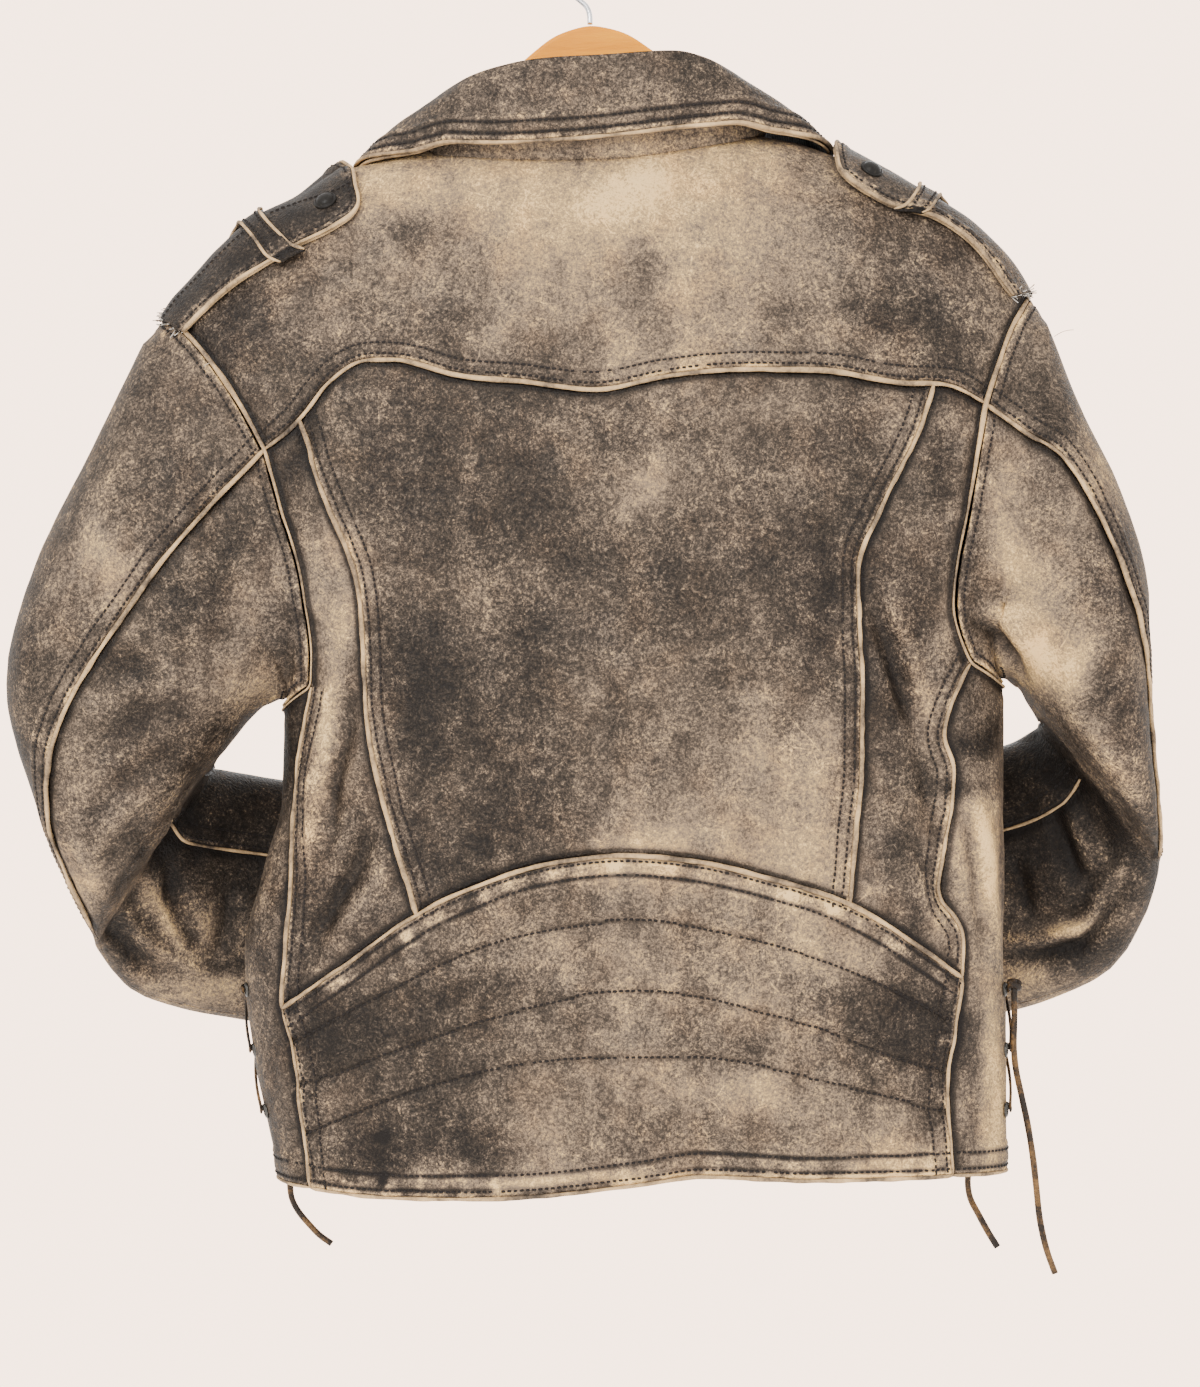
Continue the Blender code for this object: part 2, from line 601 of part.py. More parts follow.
def clear_of_torso(points, gap):
    """Points moved level outwards wherever they are closer to the torso than a gap in metres."""
    moved = points.copy()
    centre, half, back, front = ring(points[..., 2])
    depth = np.where(points[..., 1] < 0, back, front) + gap
    reach = np.abs((points[..., 0] - centre) / (half + gap)) ** ROUNDNESS
    reach = reach + np.abs(points[..., 1] / depth) ** ROUNDNESS
    grow = np.where(reach < 1, np.maximum(reach, 0.05) ** (-1 / ROUNDNESS), 1)
    moved[..., 0] = centre + (points[..., 0] - centre) * grow
    moved[..., 1] = points[..., 1] * grow
    return moved


def make_collar(neck_line):
    """Stand from the neck seam up to the fold, and the leaf that turns down over it."""
    lines = table(COLLAR_COLUMNS, COLLAR)
    neck = torso(neck_line[:, 0], neck_line[:, 1])
    count = len(neck) - 1
    fold, edge = (
        along(np.stack([lines[f"{part}_{k}"] for k in ("x", "y", "height")], axis=-1), count)
        for part in ("fold", "edge")
    )
    up = np.array([0, 0, 1.0])
    middle = (neck + fold) / 2
    stand = np.stack([neck + (WALL + LAY_GAP * 2) * MM * up, middle, fold - 0.003 * up])
    cloth("collar_stand", drawn_in(stand, SEAM_GAP / 2 * MM), LEATHER)
    away = (edge - neck) * np.array([1, 1, 0])
    away /= np.linalg.norm(away, axis=1, keepdims=True)
    roll = fold + 0.0035 * away
    shoulder = (fold * 2 + edge) / 3 + 0.009 * away + 0.002 * up
    lower = (fold + edge * 2) / 3 + 0.007 * away
    leaf = clear_of_torso(np.stack([edge, lower, shoulder, roll]), (WALL + COLLAR_LIFT) * MM)
    cloth("collar_leaf", leaf, LEATHER, wall=COLLAR_WALL)


def strap_surface(side, edge, ridge, out, starts=(0, 1), across=(-0.35, 1), cuts=(7, 6)):
    """A grid over the shoulder, as far along the ridge and down from it as the two ranges say."""
    lengthwise = np.linspace(*starts, cuts[0] + 1)
    dense = along(np.array(edge, float) * MM, 60)
    back = np.stack([np.interp(lengthwise, np.linspace(0, 1, 61), dense[:, i]) for i in (0, 1)], axis=-1)
    back = np.stack([angle_at(back[:, 0], back[:, 1]), back[:, 1]], axis=-1)
    heights = np.interp(lengthwise, np.linspace(0, 1, 61), ridge_heights(side, *np.array(ridge) * MM, 60))
    top = np.stack([np.full(cuts[0] + 1, side * math.pi / 2), heights], axis=-1)
    t = np.linspace(*across, cuts[1] + 1)[:, None, None]
    grid = top + (back - top) * t
    grid[..., 1] = top[:, 1] + (back - top)[:, 1] * np.abs(t[..., 0])
    if side < 0:
        grid = grid[:, ::-1]
    points = raised(grid[..., 0], grid[..., 1], out * MM)
    return points[::-1]


def make_strap(name, side, edge, ridge, keeper, snap):
    """Shoulder strap with its keeper and snap, all lying on the yoke and the front."""
    strap_out = WALL + STRAP_LIFT
    keeper_out = strap_out + STRAP_WALL + LAY_GAP * 2
    cloth(f"epaulette_{name}", strap_surface(side, edge, ridge, strap_out), LEATHER_DARK, wall=STRAP_WALL)
    band = strap_surface(side, edge, ridge, keeper_out, (keeper - 0.06, keeper + 0.06), (-0.4, 1.1), (2, 6))
    cloth(f"keeper_{name}", band, LEATHER)
    place = np.array(snap) * MM
    angle = angle_at(place[0], place[1])
    seat = raised(angle, place[1], (strap_out + STRAP_WALL + LAY_GAP) * MM)
    top = raised(angle, place[1], (strap_out + STRAP_WALL + 3) * MM)
    profile = ((0, 0), (SNAP_RADIUS, 0), (SNAP_RADIUS, 0.5), (5.4, 1.7), (3, 2.4), (0, 2.6))
    turned(f"snap_{name}", profile, seat, top - seat, METAL_DARK)


def centre_front(height, across=0.0):
    """Angle of a point some millimetres to the right of the centre front line."""
    _, half, _, _ = ring(height)
    return math.pi - np.sign(across) * np.arcsin((abs(across) * MM / half) ** (ROUNDNESS / 2))


def make_zip():
    """Closed zip: its strip between the fronts, the slider near the neck and the pull tab hung from it."""
    heights = np.linspace(NECK_FRONT_LEFT[-1][1] - 2, HEM_FRONT, 15) * MM
    half_strip = ZIP_WIDTH / 2 - 0.8
    columns = [centre_front(heights, -x) + 0 * heights for x in (-half_strip, 0, half_strip)]
    grid = np.stack([torso(angles, heights) for angles in columns], axis=1)
    cloth("zip_strip", grid, METAL_DARK, wall=ZIP_WALL)
    height = SLIDER_HEIGHT * MM
    seat = torso(math.pi, height) + np.array([0, (WALL + LAY_GAP) * MM, 0])
    facing = Matrix(((-1, 0, 0), (0, 0, 1), (0, 1, 0)))
    middle = seat + np.array([0, SLIDER_THICKNESS / 2 * MM, 0])
    body = ((-3.2, -7), (3.2, -7), (4.6, 2), (4.6, 6), (2.5, 7.5), (-2.5, 7.5), (-4.6, 6), (-4.6, 2))
    plate("zip_slider", body, SLIDER_THICKNESS, middle, facing, METAL_DARK, bevel=0.5)
    face = seat[1] + SLIDER_THICKNESS * MM
    bridge = [(seat[0], face + y * MM, height + z * MM) for y, z in BRIDGE]
    tube("zip_bridge", bridge, 1.0, METAL_DARK)
    axis = Vector((seat[0], face + PULL_AXIS * MM, height))
    tab = bpy.data.meshes.new("zip_pull")
    shape = bmesh.new()
    wide, deep, long = PULL_WIDTH / 2, PULL_THICKNESS / 2, PULL_LENGTH
    outer = [
        (-wide, 1.4), (wide, 1.4), (wide, -long + 3), (wide - 2.5, -long), (-wide + 2.5, -long),
        (-wide, -long + 3),
    ]
    slot = [(-1.9, -1.3), (1.9, -1.3), (1.9, -8), (1.0, -9), (-1.0, -9), (-1.9, -8)]
    sheets = []
    for y in (-deep, deep):
        rims = [[shape.verts.new((x * MM, y * MM, z * MM)) for x, z in line] for line in (outer, slot)]
        sheets.append(rims)
    count = len(outer)
    for i in range(count):
        k = (i + 1) % count
        (front_outer, front_slot), (back_outer, back_slot) = sheets
        shape.faces.new((front_outer[i], front_outer[k], front_slot[k], front_slot[i]))
        shape.faces.new((back_outer[k], back_outer[i], back_slot[i], back_slot[k]))
        shape.faces.new((front_outer[k], front_outer[i], back_outer[i], back_outer[k]))
        shape.faces.new((front_slot[i], front_slot[k], back_slot[k], back_slot[i]))
    bmesh.ops.recalc_face_normals(shape, faces=shape.faces)
    shape.to_mesh(tab)
    shape.free()
    pull = add("zip_pull", tab, METAL_DARK)
    pull.location = axis


def make_lacing(name, side):
    """Eyelets in two columns on the side panel, and the lace that crosses between them."""
    route = []
    rise = 1.2 + LAY_GAP + LACE_RADIUS
    for row in range(LACE_ROWS):
        height = (LACE_TOP - row * LACE_PITCH) * MM
        for column, turn in (("back", -1), ("front", 1)):
            angle = side * (math.pi / 2 + turn * math.radians(LACE_ANGLE))
            seat = raised(angle, height, (WALL + LAY_GAP) * MM)
            out = raised(angle, height, 10 * MM) - seat
            profile = ((2.4, 1.0), (2.4, 0), (EYELET_RADIUS, 0), (EYELET_RADIUS - 0.8, 1.2), (2.4, 1.0))
            turned(f"eyelet_{name}_{column}_{row + 1}", profile, seat, out, METAL_DARK, steps=10)
            route.append((angle, height))
    steps = np.linspace(0, len(route) - 1, LACING_POINTS * (len(route) - 1) + 1)
    angles, heights = (np.interp(steps, range(len(route)), values) for values in zip(*route))
    bulge = 1.2 * np.sin(math.pi * (steps % 1))
    line = np.stack([raised(a, h, (WALL + LAY_GAP + rise + b) * MM) for a, h, b in zip(angles, heights, bulge)])
    tube(f"lacing_{name}", line, LACE_RADIUS, LACE)


def smooth_route(points, count):
    """A lace's route as evenly spaced points of a smooth curve."""
    return along(np.array(points, float) * MM, count)


def make_laces():
    make_lacing("left", -1)
    make_lacing("right", 1)
    tube("lace_end_left", smooth_route(LACE_END_LEFT, 14), LACE_RADIUS, LACE)
    tube("lace_end_right", smooth_route(LACE_END_RIGHT, 18), LACE_RADIUS, LACE)
    tube("lace_long_right", smooth_route(LACE_LONG_RIGHT, 34), LACE_RADIUS, LACE)
    knot = bpy.data.meshes.new("lace_knot")
    shape = bmesh.new()
    bmesh.ops.create_uvsphere(shape, u_segments=12, v_segments=8, radius=KNOT_RADIUS * MM)
    shape.to_mesh(knot)
    shape.free()
    add("lace_knot", knot, LACE).location = Vector(LACE_KNOT) * MM


def make_hanger():
    """Flat wooden hanger, hung a little askew, and its steel hook."""
    tilt = Matrix.Rotation(math.radians(-HANGER_TILT), 3, "Y")
    right = HANGER_TOP[1:] + HANGER_BOTTOM
    left = tuple((-x, z) for x, z in reversed(HANGER_TOP[1:] + HANGER_BOTTOM[:-1]))
    pivot = HANGER_TOP[0][1]
    outline = [(x, z - pivot) for x, z in (HANGER_TOP[0],) + right + left]
    facing = Matrix(((1, 0, 0), (0, 0, -1), (0, 1, 0)))
    plate("hanger_wood", outline, HANGER_THICKNESS, (0, 0, pivot * MM), tilt @ facing, WOOD, bevel=2.0)
    radius = HOOK_RADIUS + HOOK_WIRE
    turns = np.radians(np.linspace(HOOK_START, HOOK_END, 25))
    bend = [(radius * math.cos(a), 0, radius * math.sin(a) - HOOK_RADIUS) for a in turns]
    stem = [(0, 0, pivot + 0.4), (0, 0, pivot + 6), (-1.5, 0, pivot + 11)]
    tube("hanger_hook", np.array(stem + bend) * MM, HOOK_WIRE, STEEL)


def build():
    neck_line, loops = make_torso()
    make_sleeve("left", SLEEVE_LEFT, loops["left"])
    make_sleeve("right", SLEEVE_RIGHT, loops["right"])
    make_collar(neck_line)
    make_strap("left", -1, STRAP_LEFT, STRAP_RIDGE_LEFT, 0.44, SNAP_LEFT)
    make_strap("right", 1, STRAP_RIGHT, STRAP_RIDGE_RIGHT, 0.35, SNAP_RIGHT)
    make_zip()
    make_laces()
    make_hanger()


for old in list(bpy.data.objects):
    bpy.data.objects.remove(old, do_unlink=True)
COLLECTION = bpy.data.collections.new("leather_jacket")
bpy.context.scene.collection.children.link(COLLECTION)
LEATHER = material("leather", (0.22, 0.18, 0.13), 0.6)
LEATHER_DARK = material("leather_dark", (0.15, 0.12, 0.09), 0.6)
METAL_DARK = material("metal_dark", (0.05, 0.05, 0.05), 0.4, 0.9)
LACE = material("lace", (0.09, 0.06, 0.045), 0.7)
WOOD = material("wood", (0.72, 0.47, 0.24), 0.4)
STEEL = material("steel", (0.6, 0.6, 0.62), 0.3, 1.0)
build()
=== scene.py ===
"""Looks of the worn leather jacket on its hanger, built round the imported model.

The wearer faces +Y, so the back that the camera sees faces -Y. The origin is the inside top of the hook.
Tables are in millimetres and the functions work in metres.
"""

import math

import bpy
import numpy as np
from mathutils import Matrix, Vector
from mathutils.bvhtree import BVHTree
from mathutils.kdtree import KDTree


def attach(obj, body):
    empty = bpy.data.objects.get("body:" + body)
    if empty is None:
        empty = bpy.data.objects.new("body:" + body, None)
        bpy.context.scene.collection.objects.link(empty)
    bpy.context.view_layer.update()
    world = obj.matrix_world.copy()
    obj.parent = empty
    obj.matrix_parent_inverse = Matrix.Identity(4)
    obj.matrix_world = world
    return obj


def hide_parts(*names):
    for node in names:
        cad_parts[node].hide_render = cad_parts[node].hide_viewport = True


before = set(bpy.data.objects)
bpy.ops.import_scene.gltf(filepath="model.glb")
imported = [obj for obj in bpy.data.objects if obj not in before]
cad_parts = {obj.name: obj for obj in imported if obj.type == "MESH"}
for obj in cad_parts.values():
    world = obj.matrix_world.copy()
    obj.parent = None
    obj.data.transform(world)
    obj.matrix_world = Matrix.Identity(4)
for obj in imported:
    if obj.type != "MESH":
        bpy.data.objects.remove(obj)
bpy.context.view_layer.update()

MM = 0.001
JACKET = "jacket"
SIDES = {"left": -1, "right": 1}

# ------------------------------------------------------------ sizes, as in the part
WALL = 1.8
COLLAR_WALL = 2.2
STRAP_WALL = 2.6
SEAM_GAP = 0.6
STRAP_LIFT = 1.0
COLLAR_LIFT = 2.0
LAY_GAP = 0.35
ROUNDNESS = 2.5
SLEEVE_ROUNDNESS = 2.4
ZIP_WIDTH = 9.0
SLIDER_HEIGHT = -232
LACE_RADIUS = 1.9
HOOK_WIRE = 1.6
HOOK_RADIUS = 20.0
HOOK_START = 205
HOOK_END = -35
HANGER_TILT = 2.3
HANGER_PIVOT = -55
HANGER_THICKNESS = 12.0

# Rings of the torso, from the neck down to the hem.
TORSO_COLUMNS = "height left right back front"
TORSO = (
    (-114, -50, 60, 18, 16), (-124, -80, 98, 29, 27), (-130, -97, 128, 35, 32), (-139, -124, 154, 40, 37),
    (-147, -147, 171, 44, 41), (-155, -160, 188, 48, 44), (-166, -178, 209, 51, 47),
    (-175, -197, 223, 54, 50), (-193, -219, 243, 58, 53), (-211, -236, 256, 61, 56),
    (-226, -249, 263, 65, 59), (-245, -257, 268, 68, 61), (-290, -254, 274, 73, 64),
    (-345, -232, 264, 77, 66), (-400, -204, 254, 79, 66), (-455, -184, 246, 79, 66),
    (-520, -182, 246, 77, 64), (-560, -193, 247, 75, 62), (-610, -205, 246, 73, 60),
    (-660, -200, 247, 72, 59), (-700, -193, 247, 71, 59), (-735, -186, 248, 71, 59),
    (-770, -182, 248, 70, 59),
)

# Seams as (x, height) seen from behind.
YOKE_SEAM = (
    (-189, -314), (-174, -303), (-162, -290), (-151, -276), (-140, -267), (-128, -263), (-113, -263),
    (-98, -266), (-80, -272), (-40, -276), (2, -281), (46, -273), (90, -269), (130, -269), (180, -276),
    (210, -277), (231, -287),
)
WAIST_SEAM = (
    (-180, -641), (-151, -620), (-100, -584), (-63, -566), (-29, -555), (20, -549), (64, -553), (98, -561),
    (150, -578), (198, -608), (218, -623),
)
HEM = ((-163, -746), (-120, -749), (-34, -747), (35, -739), (64, -735), (133, -738), (212, -738))
PRINCESS_LEFT = (
    (-168, -297), (-159, -326), (-150, -350), (-136, -384), (-131, -425), (-130, -460), (-122, -506),
    (-111, -547), (-100, -584),
)
PRINCESS_RIGHT = (
    (200, -277), (190, -306), (168, -350), (155, -384), (155, -414), (157, -448), (157, -494), (153, -541),
    (150, -578),
)
ARMHOLE_BACK_LEFT = (
    (-252, -231), (-236, -245), (-220, -264), (-204, -287), (-189, -314), (-179, -349), (-170, -378),
    (-165, -407), (-162, -432), (-163, -452),
)
ARMHOLE_BACK_RIGHT = (
    (261, -220), (249, -238), (240, -260), (231, -287), (225, -320), (220, -349), (214, -378), (211, -404),
    (215, -422), (222, -438),
)
ARMHOLE_FRONT_LEFT = ((-252, -231), (-222, -255), (-190, -300), (-170, -360), (-160, -415), (-163, -452))
ARMHOLE_FRONT_RIGHT = ((261, -220), (248, -250), (228, -295), (214, -350), (212, -402), (222, -438))
UNDERARM_LEFT = -466
UNDERARM_RIGHT = -452
SIDE_SEAM_LEFT = (
    (-163, -452), (-171, -495), (-173, -519), (-174, -548), (-175, -577), (-178, -606), (-180, -641),
)
SIDE_SEAM_RIGHT = (
    (222, -438), (211, -462), (206, -480), (212, -501), (211, -518), (206, -547), (204, -571), (217, -595),
    (218, -623),
)
BAND_SEAM_LEFT = ((-180, -641), (-172, -671), (-169, -700), (-163, -746))
BAND_SEAM_RIGHT = ((218, -623), (213, -653), (209, -690), (212, -738))
NECK_BACK = (
    (-97, -130), (-94, -137), (-75, -141), (-53, -143), (-17, -144), (18, -143), (53, -138), (78, -133),
    (92, -129), (98, -124),
)
NECK_FRONT_LEFT = ((-97, -130), (-88, -150), (-62, -183), (-25, -204), (6, -212))
NECK_FRONT_RIGHT = ((98, -124), (92, -148), (70, -180), (40, -202), (14, -212))
SIDE_FRONT_ANGLE = 118
HEM_FRONT = -743

# Facets of each stretch of seam in the part. Each one is cut finer here, so every seam keeps its place.
SIDE_FACETS = 4
CENTRE_FACETS = 12
SHOULDER_FACETS = 5
NECK_FACETS = SIDE_FACETS * 2 + CENTRE_FACETS - SHOULDER_FACETS * 2
YOKE_ROWS = 6
ARMHOLE_ROWS = 5
SIDE_ROWS = 7
WAIST_ROWS = 4
UNDERARM_FACETS = 6
FRONT_NECK_FACETS = 5
FRONT_ARMHOLE_ROWS = 9
FINER = 12

# The part's own folds in the back.
FOLD_COLUMNS = "x1 height1 x2 height2 depth width"
FOLDS = (
    (158, -385, 188, -455, 5, 13), (188, -455, 212, -580, 6, 15), (-120, -530, -168, -605, 6, 15),
    (-150, -470, -165, -560, 4, 12),
)

# Rings of each sleeve: outer x and height, inner x and height, y, half depth, angle of the back seam.
SLEEVE_LEFT = (
    (-266, -247, -176, -456, 0, 52, 89), (-299, -315, -192, -459, 0, 57, 87),
    (-332, -385, -206, -470, 0, 54, 84), (-347, -454, -218, -484, 2, 51, 73),
    (-343, -482, -223, -490, 4, 50, 63), (-334, -512, -227, -494, 7, 49, 47),
    (-324, -545, -230, -498, 11, 48, 30), (-312, -573, -232, -500, 16, 46, 26),
    (-302, -597, -233, -501, 24, 43, 24), (-300, -619, -238, -503, 64, 34, 22),
    (-285, -640, -238, -505, 76, 33, 20), (-259, -651, -232, -506, 84, 31, 20),
    (-214, -660, -204, -511, 95, 28, 20), (-133, -663, -133, -521, 99, 26, 20),
    (-35, -654, -35, -535, 98, 25, 20),
)
SLEEVE_RIGHT = (
    (271, -233, 237, -441, 0, 50, 77), (292, -288, 245, -444, 0, 56, 62), (315, -335, 253, -446, 0, 58, 61),
    (331, -388, 259, -451, 0, 60, 57), (332, -418, 262, -454, 0, 60, 47), (332, -451, 265, -459, 2, 60, 30),
    (335, -483, 268, -463, 5, 58, 25), (339, -514, 271, -467, 9, 54, 23),
    (343, -544, 274, -470, 18, 48, 22), (348, -568, 280, -474, 60, 37, 21),
    (343, -595, 281, -478, 76, 34, 20), (327, -624, 278, -481, 84, 32, 20),
    (283, -648, 263, -490, 94, 29, 20), (205, -658, 201, -506, 98, 27, 20),
    (60, -649, 60, -527, 97, 25, 20),
)
FRONT_SEAM_ANGLE = 285

# The collar's fold and its edge, from the wearer's left front round to the right front.
COLLAR_COLUMNS = "fold_x fold_y fold_height edge_x edge_y edge_height"
COLLAR = (
    (-6, 66, -192, -52, 74, -252), (-60, 60, -158, -112, 68, -205), (-92, 34, -124, -132, 44, -160),
    (-97, -4, -113, -138, -6, -138), (-72, -36, -97, -98, -46, -132), (-40, -48, -88, -55, -58, -134),
    (5, -50, -84, 8, -60, -130), (48, -48, -81, 62, -58, -124), (80, -36, -92, 106, -46, -120),
    (100, -4, -106, 144, -6, -129), (98, 34, -118, 140, 44, -154), (70, 60, -152, 124, 66, -202),
    (26, 66, -192, 70, 74, -252),
)

# Each shoulder strap's lower edge, and the heights between which it lies on the shoulder's ridge.
STRAP_LEFT = ((-137, -173), (-154, -187), (-170, -195), (-186, -204), (-209, -219), (-237, -244))
STRAP_RIGHT = ((150, -156), (164, -166), (180, -173), (200, -177), (224, -193), (246, -222))
STRAP_RIDGE_LEFT = (-147, -228)
STRAP_RIDGE_RIGHT = (-143, -217)

# Routes of the free lace ends, the knot, and the eyelets of the lacing.
LACE_END_LEFT = (
    (-186.2, -15, -708), (-181, -14, -722), (-179, -12, -745), (-178, -10, -757), (-174, -10, -765),
    (-168, -11, -772), (-161, -12, -779), (-154, -12, -784),
)
LACE_END_RIGHT = (
    (242, -15, -702), (237, -14, -717), (230, -12, -733), (225.5, -10, -746), (227, -9, -757),
    (232, -10, -767), (238, -11, -778), (243, -12, -786),
)
LACE_LONG_RIGHT = (
    (252, -20, -633.5), (252, -21, -646), (251.5, -21, -661), (252.5, -21, -677), (256, -21, -694),
    (260, -21, -713), (263, -21, -732), (265, -21, -750), (267, -21, -768), (271, -21, -786),
    (276, -21, -800),
)
LACE_KNOT = (252, -20.5, -629)
LACE_ROWS = 3
LACE_TOP = -632
LACE_PITCH = 36
LACE_ANGLE = 8  # degrees to either side of the middle of the side

# The hanger's right half, along its top and back along its bottom.
HANGER_TOP = (
    (0, -55), (22, -61), (44, -78), (70, -105), (96, -134), (120, -140), (140, -146), (175, -164),
    (205, -183),
)
HANGER_BOTTOM = ((208, -184), (200, -192), (170, -180), (130, -170), (80, -156), (40, -132), (0, -120))


# ------------------------------------------------------------ sizes of what is added
# Cells of the grids that the leather is made of: body, waist panel, sleeves and fronts.
FINE_CELL = 2.5 * MM
QUILT_CELL = 1.8 * MM
SLEEVE_CELL = 3.3 * MM
FRONT_CELL = 4.8 * MM

EVEN = ((0, 1), (1, 1))  # a welt's thickness at places along it, where it doesn't change
STITCH_PITCH = 3.6
STITCH_LENGTH = 2.7
THREAD_RADIUS = 0.72
STITCH_SINK = 0.6  # in radii of the thread
STITCHES_GONE = 0.025  # share of them
STITCH_REACH = 5.0  # how far from the leather a row may lie and still be sewn
SEWN_WITH = {"quilt": "waist", "band": "waist", "side": "princess", "neck": "collar", "keeper": "strap"}
CAPSULE = ((-0.5, 0.35), (-0.32, 1.0), (0.32, 1.0), (0.5, 0.35))  # along the stitch, and radius
CAPSULE_SIDES = 5

# Rows of quilting on the waist panel.
QUILT_ROWS = {
    "quilt_upper": (
        (-175, -661), (-132, -637), (-63, -603), (-17, -591), (29, -587), (81, -595), (133, -610),
        (185, -633), (208, -646),
    ),
    "quilt_middle": (
        (-172, -686), (-147, -677), (-109, -662), (-70, -648), (-32, -637), (15, -628), (29, -628),
        (64, -631), (98, -640), (133, -650), (168, -664), (206, -676),
    ),
    "quilt_lower": (
        (-166, -714), (-140, -702), (-109, -689), (-70, -677), (-32, -669), (29, -666), (64, -666),
        (98, -671), (133, -680), (168, -689), (208, -701),
    ),
}

ELBOW_COLUMN = 11.4  # of the seam that runs down the inside of each forearm
LEAF_DROP = 5  # how much lower it lies on the shoulders
STAND_BULGE = 5.5  # of the stand below the leaf
LEAF_SETTLE = 8  # how much closer to the back the worn leaf lies than a new one
UPPER_ROW = 23  # of the left strap's grid, where its other row of stitches runs
STRAP_ACROSS = (-0.35, 0, 0.1, 0.25, 0.4, 0.55, 0.7, 0.85, 1)  # places down from the ridge, for the tables
# How far the free end reaches past the strap's plain form, in millimetres.
STRAP_REACH = {"left": (0, 1, 10, 18, 20, 19, 16, 11, 4), "right": (16, 19, 22, 25, 25.5, 24, 20, 14, 6)}
# How far the free end stands up from the shoulder, in millimetres.
STRAP_STAND = {"left": (1, 4, 3.5, 2, 0, -1, 1, -1, -2), "right": (8, 10, 10.5, 10.5, 10, 9, 6, 3, 0.5)}
# Share of the strap that each place of the keeper is nearer to the neck than its lower end.
KEEPER_SHIFT = {
    "left": (-0.09, -0.044, -0.008, 0.042, 0.075, 0.087, 0.075, 0.044, 0),
    "right": (0.0, 0.044, 0.066, 0.09, 0.103, 0.1, 0.081, 0.045, 0),
}
# Foot in millimetres, direction, length.
STRAY_THREADS = (
    ((198, -30, -183), (1, -0.4, 0.15), 9), ((190, -32, -180), (0.6, -0.5, 0.7), 6),
    ((272, -46, -247), (1, -0.3, 0.25), 12), ((-222, -45, -262), (-0.4, -1, -0.5), 7),
    ((-178, -40, -220), (-0.3, -1, 0.4), 5), ((183, -34, -186), (-0.5, -0.8, -0.4), 6),
)

# Profiles that are turned, as (radius, height).
SNAP_PROFILE = (
    (6.9, 0.0), (7.0, 0.8), (6.7, 1.5), (6.2, 1.7), (5.9, 1.45), (5.6, 1.5), (5.3, 2.2), (4.4, 3.2),
    (3.0, 3.9), (1.5, 4.2), (0.0, 4.3),
)
EYELET_PROFILE = (
    (2.3, 0.1), (2.3, 0.9), (2.6, 1.25), (3.1, 1.35), (3.7, 1.15), (4.2, 0.7), (4.5, 0.1), (4.3, 0.0),
    (2.5, 0.0), (2.3, 0.1),
)

LACING_POINTS = 8  # between one eyelet and the next
TOOTH_PITCH = 2.6
TOOTH = np.array([(-0.4, -0.8), (2.9, -0.7), (3.3, -0.35), (3.3, 0.35), (2.9, 0.7), (-0.4, 0.8)])
TOOTH_THICKNESS = 1.5


